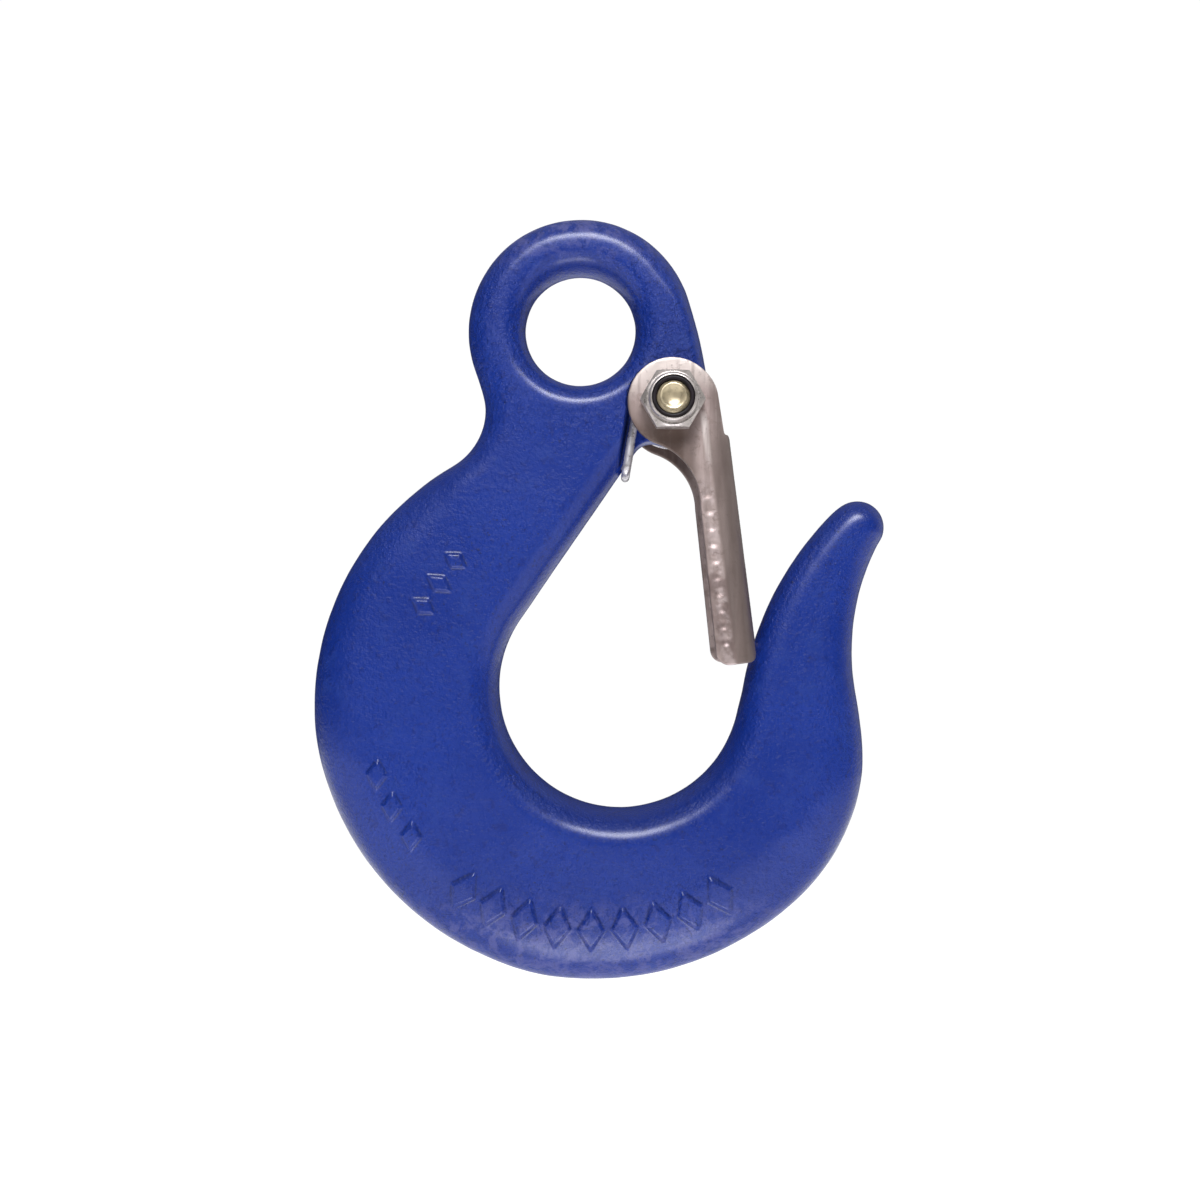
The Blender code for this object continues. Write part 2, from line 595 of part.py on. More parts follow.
def main():
    clear()
    blue = material("hook_paint", BLUE, 0.35, 0.0)
    steel = material("latch_steel", STEEL, 0.35, 1.0)
    zinc = material("bolt_zinc", ZINC, 0.3, 1.0)
    wire = material("spring_wire", WIRE, 0.25, 1.0)
    nylon = material("insert_nylon", NYLON, 0.5, 0.0)

    hook = forging("hook_body", blue)
    for side in (-1, 1):
        y0, y1 = sorted((side * LUG_HALF, side * 30))
        boolean(hook, cutter(f"cut_pocket_{'front' if side < 0 else 'back'}",
                             lambda b: prism(b, pocket(), y0, y1)))
    boolean(hook, cutter("cut_lug_bore",
                         lambda b: prism(b, circle(BORE_R, 32, PIVOT_X, PIVOT_Z), -30, 30)))

    pivot = bpy.data.objects.new("latch_pivot", None)
    bpy.context.scene.collection.objects.link(pivot)
    pivot.location = (PIVOT_X * MM, 0, PIVOT_Z * MM)
    bpy.context.view_layer.update()

    latch = channel(steel)
    latch.parent = pivot
    latch.matrix_parent_inverse = Matrix.Translation(pivot.location).inverted()

    ear = LATCH_HALF_W + GAP
    end = ear + NUT_H
    # bolt: head behind, shank through the ears and the lug, dished front end
    bm = bmesh.new()
    hex_r = HEX_AF / math.sqrt(3)
    shank = 32
    rows = []
    def ring_at(r, y, seg=shank):
        return [bm.verts.new(((PIVOT_X + r * math.cos(2 * math.pi * i / seg)) * MM, y * MM,
                              (PIVOT_Z + r * math.sin(2 * math.pi * i / seg)) * MM)) for i in range(seg)]
    chain = [ring_at(2.2, -end + 0.1), ring_at(3.6, -end - 0.5), ring_at(BOLT_R, -end + 0.7), ring_at(BOLT_R, ear)]
    bm.faces.new(chain[0][::-1])
    for a, b in zip(chain, chain[1:]):
        for i in range(shank):
            j = (i + 1) % shank
            bm.faces.new((a[i], a[j], b[j], b[i]))
    bm.faces.new(chain[-1])
    bolt = add("latch_bolt", bm, zinc, 30.0)
    head = cutter("head_hex", lambda b: prism(b, circle(hex_r, 6, PIVOT_X, PIVOT_Z), ear, ear + HEAD_H))
    cone = cutter("head_chamfer", lambda b: lathe(b, [(0, ear - 1), (hex_r + 1, ear - 1), (hex_r + 1, ear + HEAD_H - 1.9),
                                                      (HEX_AF / 2 - 0.4, ear + HEAD_H), (0, ear + HEAD_H)], 40))
    boolean(head, cone, "INTERSECT")
    under = cutter("head_root", lambda b: prism(b, circle(4.0, 16, PIVOT_X, PIVOT_Z), ear - 2, ear + 2))
    boolean(bolt, head, "UNION")
    boolean(bolt, under, "UNION")

    # lock nut in front: hexagon, domed collar, bore and the groove of its insert
    bm = bmesh.new()
    prism(bm, circle(hex_r, 6, PIVOT_X, PIVOT_Z), -ear - NUT_HEX_H, -ear)
    nut = add("latch_nut", bm, zinc, 30.0)
    dome = cutter("nut_chamfer", lambda b: lathe(b, [(0, -ear), (HEX_AF / 2 + 0.1, -ear), (hex_r + 0.1, -ear - 1.0), (hex_r + 0.1, -ear - NUT_HEX_H + 1.6),
                                                     (COLLAR_R + 0.6, -ear - NUT_HEX_H - 0.001), (0, -ear - NUT_HEX_H - 0.001)], 40))
    collar = cutter("nut_collar", lambda b: lathe(b, [(0, -ear - NUT_HEX_H + 1.0), (COLLAR_R, -ear - NUT_HEX_H + 1.0), (COLLAR_R, -end + 1.2),
                                                      (COLLAR_R - 0.35, -end + 0.35), (LIP_R + 0.3, -end), (0, -end)], 40))
    hole = cutter("nut_bore", lambda b: prism(b, circle(NUT_BORE_R, 32, PIVOT_X, PIVOT_Z), -end - 2, -ear + 2))
    groove = cutter("nut_groove", lambda b: prism(b, circle(LIP_R + 0.02, 32, PIVOT_X, PIVOT_Z), -end - 2, -end + 3.2))
    boolean(nut, dome, "INTERSECT")
    boolean(nut, collar, "UNION")
    boolean(nut, hole)
    boolean(nut, groove)

    bm = bmesh.new()
    lathe(bm, [(NUT_BORE_R, -end + 2.9), (NUT_BORE_R, -end + 0.5), (NUT_BORE_R + 0.3, -end + 0.3), (LIP_R - 0.5, -end + 0.3),
               (LIP_R - 0.28, -end + 0.5), (LIP_R - 0.28, -end + 2.9)], 32)
    add("nut_insert", bm, nylon, 40.0)

    half = spring_path()
    back = half[1:] * np.array([1, -1, 1])
    bm = bmesh.new()
    sweep_tube(bm, np.vstack([half[::-1], back]), WIRE_R, 8)
    spring = add("latch_spring", bm, wire, 60.0)
    spring.parent = pivot
    spring.matrix_parent_inverse = Matrix.Translation(pivot.location).inverted()


main()
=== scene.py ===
"""Looks for the eye hook with latch: fine surfaces, materials, stage, light and camera."""

import json
import math

import bmesh
import bpy
import numpy as np
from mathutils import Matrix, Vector, kdtree, noise
from mathutils.geometry import delaunay_2d_cdt


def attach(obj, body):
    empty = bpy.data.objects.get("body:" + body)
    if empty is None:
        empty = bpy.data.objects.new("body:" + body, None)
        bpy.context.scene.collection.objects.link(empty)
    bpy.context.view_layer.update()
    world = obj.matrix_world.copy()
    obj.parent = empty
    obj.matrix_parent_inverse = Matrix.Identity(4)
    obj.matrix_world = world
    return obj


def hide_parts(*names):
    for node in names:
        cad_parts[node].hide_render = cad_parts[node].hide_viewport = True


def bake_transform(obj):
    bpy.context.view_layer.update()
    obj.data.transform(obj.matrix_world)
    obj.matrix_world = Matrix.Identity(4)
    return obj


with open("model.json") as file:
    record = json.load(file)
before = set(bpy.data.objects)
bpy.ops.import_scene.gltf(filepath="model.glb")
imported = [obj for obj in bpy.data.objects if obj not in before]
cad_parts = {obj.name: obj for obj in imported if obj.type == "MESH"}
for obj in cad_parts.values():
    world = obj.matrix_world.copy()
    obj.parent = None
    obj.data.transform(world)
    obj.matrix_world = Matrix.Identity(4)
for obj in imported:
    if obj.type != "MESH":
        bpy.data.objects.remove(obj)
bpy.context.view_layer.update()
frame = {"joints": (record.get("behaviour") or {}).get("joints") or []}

MM = 0.001

# ---- the same design as the CAD, millimetres and degrees ---------------------
EYE_HOLE_R, EYE_HOLE_EDGE = 17.0, 7.5
hinge = next(j for j in frame["joints"] if j["name"] == "latch_hinge")
PIVOT_X, PIVOT_Z = hinge["pos_m"][0] / MM, hinge["pos_m"][2] / MM
LUG_R, LUG_HALF, POCKET_R, BORE_R = 12.2, 4.75, 13.1, 5.35
SHANK_ANGLE, SIDE_ANGLE = 55.46, 12.66
BOWL_X, BOWL_Z, BOWL_R = 12.2, -111.1, 37.4
LUG_FILLET_R = 6.0
SHEET, LATCH_HALF_W, LATCH_BEND_R, LATCH_TILT = 2.5, 15.0, 6.0, 7.2
EAR_R, EAR_HOLE_R = 13.5, 5.35
WEB_OUT, WEB_TOP, WEB_END, LATCH_END = 16.2, 12.6, 75.4, 81.3
BOLT_R, HEX_AF, HEAD_H, NUT_H, NUT_HEX_H = 4.95, 17.0, 6.4, 10.0, 6.9
COLLAR_R, LIP_R, NUT_BORE_R, GAP = 7.35, 6.45, 5.3, 0.3
WIRE_R, COIL_R, COIL_PITCH = 1.3, 10.4, 2.75
SPRING_LOOP = (14.0, -45.4)
s = math.radians(SHANK_ANGLE)

OUTLINE_ARCS = [
    # name           x       z       r      from     to    edge  taper
    ("eye",          0.2,   -0.5,   35.2,   SIDE_ANGLE, 203.0, 8.8, 0.0),
    ("neck",       -47.3,  -25.1,  -17.6,   22.0, -32.0,  9.0, 0.0),
    ("shoulder",     3.3, -116.6,   86.2,  118.5, 184.0, 15.0, 0.15),
    ("heel",         5.6, -113.0,   89.0,  194.0, 246.0, 20.0, 0.5),
    ("bottom",       3.9, -107.7,   94.3,  261.0, 312.0, 25.0, 0.6),
    ("cheek",       22.5, -129.1,   66.1,  326.0, 350.5, 17.0, 0.4),
    ("tip_back",   158.4, -100.0,  -73.6,  192.0, 151.5, 10.0, 0.0),
    ("nose",        86.4,  -61.2,    8.4,  -40.0, 137.0,  8.0, 0.0),
    ("tip_inner",  149.1, -127.2,   99.7,  137.5, 171.5,  8.5, 0.0),
    ("bowl",      BOWL_X, BOWL_Z, -BOWL_R,  -9.0, 90 + SHANK_ANGLE - 360, 10.0, 0.0),
    ("lug",      PIVOT_X, PIVOT_Z,  LUG_R, -108.0, SIDE_ANGLE, 4.5, 0.0),
]
EASE = 2.2
STATIONS = np.array([
    # x        z       half thickness
    (0.0,     0.0,     10.0),
    (-6.0,  -38.0,     10.5),
    (-24.0, -66.0,     11.4),
    (-44.0, -92.0,     12.6),
    (-54.0, -118.0,    14.2),
    (-42.0, -148.0,    15.0),
    (-16.0, -170.0,    15.2),
    (14.0, -175.0,     15.2),
    (42.0, -163.0,     14.6),
    (60.0, -140.0,     13.2),
    (68.0, -116.0,     11.4),
    (76.0, -92.0,       9.6),
    (84.0, -70.0,       8.3),
])
STATION_SPREAD = 13.0


# ---- small helpers -----------------------------------------------------------
def mesh_object(name, verts, faces, smooth_deg=None):
    mesh = bpy.data.meshes.new(name)
    mesh.from_pydata([tuple(v) for v in verts], [], [tuple(f) for f in faces])
    mesh.validate()
    bm = bmesh.new()
    bm.from_mesh(mesh)
    bmesh.ops.recalc_face_normals(bm, faces=bm.faces)
    bm.to_mesh(mesh)
    bm.free()
    o = bpy.data.objects.new(name, mesh)
    bpy.context.scene.collection.objects.link(o)
    mesh.shade_smooth()
    if smooth_deg:
        mesh.set_sharp_from_angle(angle=math.radians(smooth_deg))
    return o


def smoothstep(a, b, x):
    t = np.clip((x - a) / (b - a), 0, 1)
    return t * t * (3 - 2 * t)


def arc_points(cx, cz, r, a0, a1, step=0.4):
    n = max(3, int(abs(math.radians(a1 - a0)) * abs(r) / step))
    a = np.radians(np.linspace(a0, a1, n + 1))
    return np.column_stack([cx + abs(r) * np.cos(a), cz + abs(r) * np.sin(a)])


def line_points(p, q, step=0.4):
    n = max(2, int(np.hypot(*(np.array(q) - p)) / step))
    t = np.linspace(0, 1, n + 1)[:, None]
    return np.array(p) * (1 - t) + np.array(q) * t


def circle(r, seg, cx=0.0, cz=0.0, start=0.0):
    return [(cx + r * math.cos(start + 2 * math.pi * i / seg),
             cz + r * math.sin(start + 2 * math.pi * i / seg)) for i in range(seg)]


def ring_smooth(v, length, sigma):
    n = len(v)
    step = length / n
    k = max(1, int(3 * sigma / step))
    w = np.exp(-0.5 * (np.arange(-k, k + 1) * step / sigma) ** 2)
    w /= w.sum()
    out = np.zeros_like(v, dtype=float)
    for j, wj in zip(range(-k, k + 1), w):
        out += wj * np.roll(v, -j, axis=0)
    return out


def resample(closed, count):
    loop = np.vstack([closed, closed[:1]])
    d = np.concatenate([[0], np.cumsum(np.hypot(*np.diff(loop, axis=0).T))])
    t = np.linspace(0, d[-1], count, endpoint=False)
    return np.column_stack([np.interp(t, d, loop[:, 0]), np.interp(t, d, loop[:, 1])]), t, d


def left_normals(p, reach=2):
    tan = np.roll(p, -reach, axis=0) - np.roll(p, reach, axis=0)
    tan /= np.hypot(*tan.T)[:, None]
    return np.column_stack([-tan[:, 1], tan[:, 0]])


def inside(pts, poly):
    """Even-odd test of many points against one polygon."""
    x0, z0 = poly[:, 0], poly[:, 1]
    x1, z1 = np.roll(x0, -1), np.roll(z0, -1)
    slope = (x1 - x0) / np.where(z1 == z0, 1e-12, z1 - z0)
    res = np.zeros(len(pts), bool)
    for a in range(0, len(pts), 2000):
        q = pts[a:a + 2000]
        z = q[:, 1:2]
        c = (z0[None] > z) != (z1[None] > z)
        xi = x0[None] + (z - z0[None]) * slope[None]
        res[a:a + 2000] = (np.count_nonzero(c & (q[:, 0:1] < xi), axis=1) % 2) == 1
    return res


def stagger(lo, hi, g):
    """Staggered grid of points over a box."""
    pts, z, row = [], lo[1] + g / 2, 0
    while z < hi[1]:
        x = np.arange(lo[0] + (g / 2 if row % 2 else 0), hi[0], g)
        pts.append(np.column_stack([x, np.full(len(x), z)]))
        z += g * 0.866
        row += 1
    return np.vstack(pts)


def nearest(pts, tree):
    return np.array([tree.find((x, z, 0))[1:] for x, z in pts])


def kd(points):
    t = kdtree.KDTree(len(points))
    for i, (x, z) in enumerate(points):
        t.insert((x, z, 0), i)
    t.balance()
    return t


def plate(loops, inner):
    """Triangles of a flat region. loops: closed 2D loops, the first one outermost.
    Returns faces indexing the loops' points in order, then the inner points."""
    flat = [tuple(p) for lp in loops for p in lp]
    cons, base = [], 0
    for lp in loops:
        n = len(lp)
        cons += [(base + i, base + (i + 1) % n) for i in range(n)]
        base += n
    coords = [Vector(p) for p in flat] + [Vector(p) for p in inner]
    out = delaunay_2d_cdt(coords, cons, [], 0, 1e-7)
    v2, f2, orig = out[0], out[2], out[3]
    if any(not o for o in orig):
        raise ValueError("loops cross")
    cent = np.array([[(v2[f[0]][c] + v2[f[1]][c] + v2[f[2]][c]) / 3 for c in (0, 1)] for f in f2])
    ok = inside(cent, np.array(loops[0]))
    for lp in loops[1:]:
        ok &= ~inside(cent, np.array(lp))
    return [tuple(orig[v][0] for v in f) for f, g in zip(f2, ok) if g]


# ---- hook body ---------------------------------------------------------------
def leg_direction():
    d = np.array([PIVOT_X, PIVOT_Z]) - np.array(SPRING_LOOP)
    reach = np.hypot(*d)
    turn = math.asin(COIL_R / reach)
    d /= reach
    leg = np.array([d[0] * math.cos(turn) - d[1] * math.sin(turn),
                    d[0] * math.sin(turn) + d[1] * math.cos(turn)])
    return leg, np.array([-leg[1], leg[0]])


def lug_fillet():
    d = np.array([math.cos(s), math.sin(s)])
    right = np.array([math.sin(s), -math.cos(s)])
    start = np.array([BOWL_X, BOWL_Z]) - right * BOWL_R
    rel = np.array([PIVOT_X, PIVOT_Z]) - start
    foot, off = rel @ d, rel @ right
    reach = math.sqrt((LUG_R + LUG_FILLET_R) ** 2 - (LUG_FILLET_R - off) ** 2)
    centre = start + d * (foot - reach) + right * LUG_FILLET_R
    return start, start + d * (foot - reach), centre


def outline():
    start, end, centre = lug_fillet()
    parts = []
    for name, cx, cz, r, a0, a1, edge, taper in OUTLINE_ARCS:
        if name == "lug":
            parts.append((line_points(start, end), 9.0, 0.0, 400.0))
            to = np.degrees(math.atan2(PIVOT_Z - centre[1], PIVOT_X - centre[0]))
            parts.append((arc_points(*centre, -LUG_FILLET_R, 90 + SHANK_ANGLE, to), 7.0, 0.0, LUG_FILLET_R))
            a0 = to - 180
        parts.append((arc_points(cx, cz, r, a0, a1), edge, taper, abs(r)))
    pts, edge, taper, rad = [], [], [], []
    n_ease = int(EASE / 0.4)
    for i, (p, e, t, r) in enumerate(parts):
        cut = min(n_ease, (len(p) - 3) // 3)
        p = p[cut:len(p) - cut]
        nxt = parts[(i + 1) % len(parts)][0]
        ncut = min(n_ease, (len(nxt) - 3) // 3)
        q0, q1 = nxt[ncut], nxt[ncut + 1]
        pts.extend(p)
        a, b = p[-1], q0
        span = np.hypot(*(b - a))
        ta = (p[-1] - p[-2]) / np.hypot(*(p[-1] - p[-2])) * span
        tb = (q1 - q0) / np.hypot(*(q1 - q0)) * span
        n = max(2, int(span / 0.4))
        for u in np.arange(1, n) / n:
            h = (2 * u**3 - 3 * u**2 + 1, u**3 - 2 * u**2 + u, -2 * u**3 + 3 * u**2, u**3 - u**2)
            pts.append(h[0] * a + h[1] * ta + h[2] * b + h[3] * tb)
        k = len(pts) - len(edge)
        edge += [e] * k
        taper += [t] * k
        rad += [r] * k
    return np.array(pts), np.array(edge), np.array(taper), np.array(rad)


def half_thickness(p):
    d2 = (p[:, None, 0] - STATIONS[None, :, 0]) ** 2 + (p[:, None, 1] - STATIONS[None, :, 1]) ** 2
    w = np.exp(-(d2 - d2.min(1)[:, None]) / (2 * STATION_SPREAD**2))
    return (w * STATIONS[None, :, 2]).sum(1) / w.sum(1)


def edge_profile(u, taper):
    u = np.clip(u, 0, 1)
    round_ = np.sqrt(1 - (1 - u) ** 2)
    v = np.clip(u / 0.3, 0, 1)
    long_ = 0.58 * np.sqrt(1 - (1 - v) ** 2) + 0.42 * (1 - (1 - u) ** 1.8)
    return (1 - taper) * round_ + taper * long_


def pocket_distance(p):
    """Distance outside the pocket's outline, negative inside it."""
    leg, left = leg_direction()
    q = p - np.array([PIVOT_X, PIVOT_Z])
    ring = np.hypot(q[:, 0], q[:, 1]) - POCKET_R
    run = np.maximum.reduce([q @ left - (COIL_R + WIRE_R + 0.8), q @ leg, -52.0 - p[:, 1]])
    return np.minimum(ring, run)


# plain raised diamond studs on the front: (centre x, z, angle, half length, half width)
MARKS = []
for i in range(9):                                   # row along the bottom
    a = math.radians(236.5 + i * 8.1)
    MARKS.append((5.0 + 72.5 * math.cos(a), -111.5 + 72.5 * math.sin(a), a, 6.9, 4.1))
for i in range(3):                                   # three more at the heel
    a = math.radians(201.0 + i * 8.6)
    MARKS.append((5.0 + 71.0 * math.cos(a), -111.5 + 71.0 * math.sin(a), math.radians(266), 4.9, 3.2))
for dx, dz, hl in ((-4.8, -6.9, 4.2), (0.0, 0.0, 4.8), (4.9, 7.0, 4.2)):
    MARKS.append((-42.6 + dx, -79.0 + dz, math.radians(145), hl, 2.8))


def mark_height(p):
    """Height of the raised studs, 0 to 1, with soft forged edges."""
    out = np.zeros(len(p))
    for cx, cz, a, hl, hw in MARKS:
        dx, dz = p[:, 0] - cx, p[:, 1] - cz
        lu = np.abs(dx * math.cos(a) + dz * math.sin(a))
        lv = np.abs(-dx * math.sin(a) + dz * math.cos(a))
        near = (lu < hl + 2) & (lv < hw + 2)
        k = 1 / math.hypot(1 / hl, 1 / hw)
        sd = (np.sqrt((lu / hl + 0.02) ** 2) + np.sqrt((lv / hw) ** 2 + 0.004) - 1.04) * k
        out[near] = np.maximum(out[near], 1 - smoothstep(-0.85, 0.35, sd[near]))
    return out


def forged_relief(P3):
    """Inward relief of a forged, scaled and painted surface, millimetres."""
    out = np.zeros(len(P3))
    for i, (x, y, z) in enumerate(P3):
        v = Vector((x / 11.0, y / 11.0, z / 11.0))
        w = Vector((x / 4.2 + 7.1, y / 4.2, z / 4.2 + 3.3))
        n1 = noise.noise(v)
        n2 = noise.noise(w)
        n3 = noise.noise(w * 2.3)
        out[i] = 0.17 * (0.5 - 0.5 * n1) + 0.075 * (0.5 - 0.5 * n2) + 0.03 * (0.5 - 0.5 * n3)
    return out


def hook_body():
    p, edge, taper, rad = outline()
    even, t, d = resample(p, 2400)
    total = d[-1]
    pick = lambda v: np.interp(t, d[:-1], v, period=total)
    edge, taper, rad = pick(edge), pick(taper), pick(rad)
    edge = ring_smooth(edge, total, 5.0)
    taper = ring_smooth(taper, total, 9.0)
    even = ring_smooth(even, total, 0.9)
    nrm = left_normals(even)
    others = np.vstack([even[::3], np.array(circle(EYE_HOLE_R, 90))])
    dd = others[None] - even[:, None]
    dot = (dd * nrm[:, None]).sum(2)
    sq = (dd**2).sum(2)
    room = np.where((dot > 1e-6) & (sq > 4.0), sq / (2 * np.maximum(dot, 1e-6)), 1e9).min(1) * 0.93
    lowest = np.minimum.reduce([np.roll(np.minimum(edge, room), j) for j in range(-12, 13, 2)])
    edge = np.minimum(ring_smooth(lowest, total, 2.0), room)
    # boundary spacing: fine where the pocket's wall crosses the outline
    step = np.clip(np.sqrt(8 * 0.006 * rad), 0.7, 1.15)
    wall = np.abs(pocket_distance(even))
    step = np.minimum(step, 0.28 + 0.25 * np.maximum(wall - 0.8, 0))
    step = ring_smooth(step, total, 0.8)
    cum = np.concatenate([[0], np.cumsum(total / len(even) / step)])
    n = int(math.ceil(cum[-1]))
    at = np.interp(np.arange(n) * cum[-1] / n, cum, np.arange(len(even) + 1))
    f = lambda v: np.interp(at, np.arange(len(even) + 1), np.append(v, v[0]))
    P = np.column_stack([f(even[:, 0]), f(even[:, 1])])
    N = np.column_stack([f(nrm[:, 0]), f(nrm[:, 1])])
    N /= np.hypot(*N.T)[:, None]
    E, T = f(edge), f(taper)

    hn = 150
    a = -np.arange(hn) * 2 * math.pi / hn
    HN = np.column_stack([np.cos(a), np.sin(a)])
    bn = 72
    b = -np.arange(bn) * 2 * math.pi / bn
    BN = np.column_stack([np.cos(b), np.sin(b)])
    loops = [
        (P, N, E, T, 0.34),
        (HN * EYE_HOLE_R, HN, np.full(hn, EYE_HOLE_EDGE), np.zeros(hn), 0.45),
        (BN * BORE_R + np.array([PIVOT_X, PIVOT_Z]), BN, np.full(bn, 0.45), np.zeros(bn), 1.0),
    ]
    # dense boundary data for heights away from the rings
    src = np.vstack([even, np.array(circle(EYE_HOLE_R, 700))])
    src_n = np.vstack([nrm, np.array(circle(1.0, 700))])
    src_e = np.concatenate([edge, np.full(700, EYE_HOLE_EDGE)])
    src_t = np.concatenate([taper, np.zeros(700)])
    tree = kd(src)

    def height(q, u=None, e=None, tp=None):
        if u is None:
            nb = nearest(q, tree)
            i = nb[:, 0].astype(int)
            dist = np.abs(((q - src[i]) * src_n[i]).sum(1))
            u, tp = dist / src_e[i], src_t[i]
        h = half_thickness(q) * edge_profile(u, tp)
        low = np.minimum(h, LUG_HALF)
        return low + (h - low) * smoothstep(-0.1, 0.95, pocket_distance(q))

    verts, faces, rings_end, front_idx, back_idx = [], [], [], [], []
    K = 11
    for li, (Lp, Ln, Le, Lt, share) in enumerate(loops):
        n = len(Lp)
        th = np.linspace(0, math.acos(1 - share), K + 1)
        us = 1 - np.cos(th)
        base = len(verts)
        verts += [(x, 0.0, z) for x, z in Lp]
        pf = pb = list(range(base, base + n))
        for k in range(1, K + 1):
            q = Lp + Ln * (Le * us[k])[:, None]
            if li == 2:                            # bore through the lug, small chamfer
                h = LUG_HALF - 0.45 + 0.45 * np.full(n, math.sqrt(1 - (1 - us[k]) ** 2))
            else:
                h = height(q, np.full(n, us[k]), Le, Lt)
            fr = list(range(len(verts), len(verts) + n))
            verts += [(x, -y, z) for (x, z), y in zip(q, h)]
            bk = list(range(len(verts), len(verts) + n))
            verts += [(x, y, z) for (x, z), y in zip(q, h)]
            for i in range(n):
                j = (i + 1) % n
                faces.append((pf[i], pf[j], fr[j], fr[i]))
                faces.append((pb[j], pb[i], bk[i], bk[j]))
            pf, pb = fr, bk
        rings_end.append(q)
        front_idx += pf
        back_idx += pb

    poly = [r for r in rings_end]
    ring_all = np.vstack(poly)
    lo, hi = ring_all.min(0), ring_all.max(0)
    coarse = stagger(lo, hi, 1.3)
    marks = mark_height(coarse)
    near_mark = np.zeros(len(coarse), bool)
    for cx, cz, ang, hl, hw in MARKS:
        near_mark |= np.hypot(coarse[:, 0] - cx, coarse[:, 1] - cz) < hl + 1.9
    pd = np.abs(pocket_distance(coarse) - 0.4)
    near_wall = (pd < 1.3) & (coarse[:, 1] > -55)
    coarse = coarse[~near_mark & ~near_wall]
    fine = []
    for cx, cz, ang, hl, hw in MARKS:
        g = stagger((cx - hl - 2, cz - hl - 2), (cx + hl + 2, cz + hl + 2), 0.42)
        g = g[np.hypot(g[:, 0] - cx, g[:, 1] - cz) < hl + 1.5]
        fine.append(g)
    g = stagger((8, -56), (46, -8), 0.33)
    g = g[np.abs(pocket_distance(g) - 0.4) < 1.15]
    fine.append(g)
    fine = np.vstack(fine)
    # drop fine points that fall almost on one another where areas meet
    key = np.round(fine / 0.3).astype(int)
    _, first = np.unique(key, axis=0, return_index=True)
    fine = fine[np.sort(first)]
    inner = np.vstack([coarse, fine])
    ok = inside(inner, poly[0])
    for lp in poly[1:]:
        ok &= ~inside(inner, lp)
    inner = inner[ok]
    rt = kd(ring_all)
    gap = nearest(inner, rt)[:, 1]
    tight = np.abs(pocket_distance(inner) - 0.4) < 1.2
    inner = inner[gap > np.where(tight, 0.2, 0.55)]
    h = height(inner)
    base = len(verts)
    k = len(inner)
    verts += [(x, -y, z) for (x, z), y in zip(inner, h)]
    verts += [(x, y, z) for (x, z), y in zip(inner, h)]
    front_idx += list(range(base, base + k))
    back_idx += list(range(base + k, base + 2 * k))
    for f3 in plate(poly, inner):
        i, j, m = f3
        faces.append((front_idx[i], front_idx[j], front_idx[m]))
        faces.append((back_idx[m], back_idx[j], back_idx[i]))

    V = np.array(verts)
    front = V[:, 1] < -0.5
    mh = mark_height(V[:, [0, 2]])
    V[front, 1] -= 0.9 * mh[front]
    o = mesh_object("hook_forging", V * MM, faces)
    # forged relief, inwards along the normals, calmer at the bore and the lug
    no = np.zeros(len(V) * 3, np.float32)
    o.data.vertices.foreach_get("normal", no)
    no = no.reshape(-1, 3)
    rel = forged_relief(V)
    calm = smoothstep(7.0, 15.0, np.hypot(V[:, 0] - PIVOT_X, V[:, 2] - PIVOT_Z))
    V2 = V - no * (rel * (0.15 + 0.85 * calm))[:, None]
    o.data.vertices.foreach_set("co", (V2 * MM).astype(np.float32).ravel())
    o.data.update()
    return o


# ---- latch -------------------------------------------------------------------
LATCH_A = math.radians(LATCH_TILT)


def latch_world(u, v, y):
    return (PIVOT_X + u * math.sin(LATCH_A) + v * math.cos(LATCH_A), y,
            PIVOT_Z - u * math.cos(LATCH_A) + v * math.sin(LATCH_A))


BEND_C = WEB_OUT - LATCH_BEND_R                 # v of the bend's centre
BEND_M = LATCH_BEND_R - SHEET / 2               # mid-sheet bend radius
WEB_HALF = LATCH_HALF_W - LATCH_BEND_R          # half width of the flat web
BEND_T = WEB_HALF + BEND_M * math.pi / 2        # where the flange starts, unrolled


def unroll(v):
    """Distance round the sheet, from the web's middle, of a side-view depth v."""
    c = np.clip((v - BEND_C) / BEND_M, -1, 1)
    return np.where(v <= BEND_C, BEND_T + (BEND_C - v), WEB_HALF + BEND_M * np.arccos(np.clip(c, 0, 1)))


def roll(t, w):
    """Section position (y, v) of unrolled distance t, offset w towards the outside."""
    sgn = np.sign(t)
    a = np.abs(t)
    phi = np.clip((a - WEB_HALF) / BEND_M, 0, math.pi / 2)
    over = np.maximum(a - BEND_T, 0)
    y = np.minimum(a, WEB_HALF) + (BEND_M + w) * np.sin(phi)
    v = BEND_C + (BEND_M + w) * np.cos(phi) - over
    y = np.where(a <= WEB_HALF, a, y)
    v = np.where(a <= WEB_HALF, BEND_C + BEND_M + w, v)
    return y * np.where(sgn == 0, 1, sgn), v


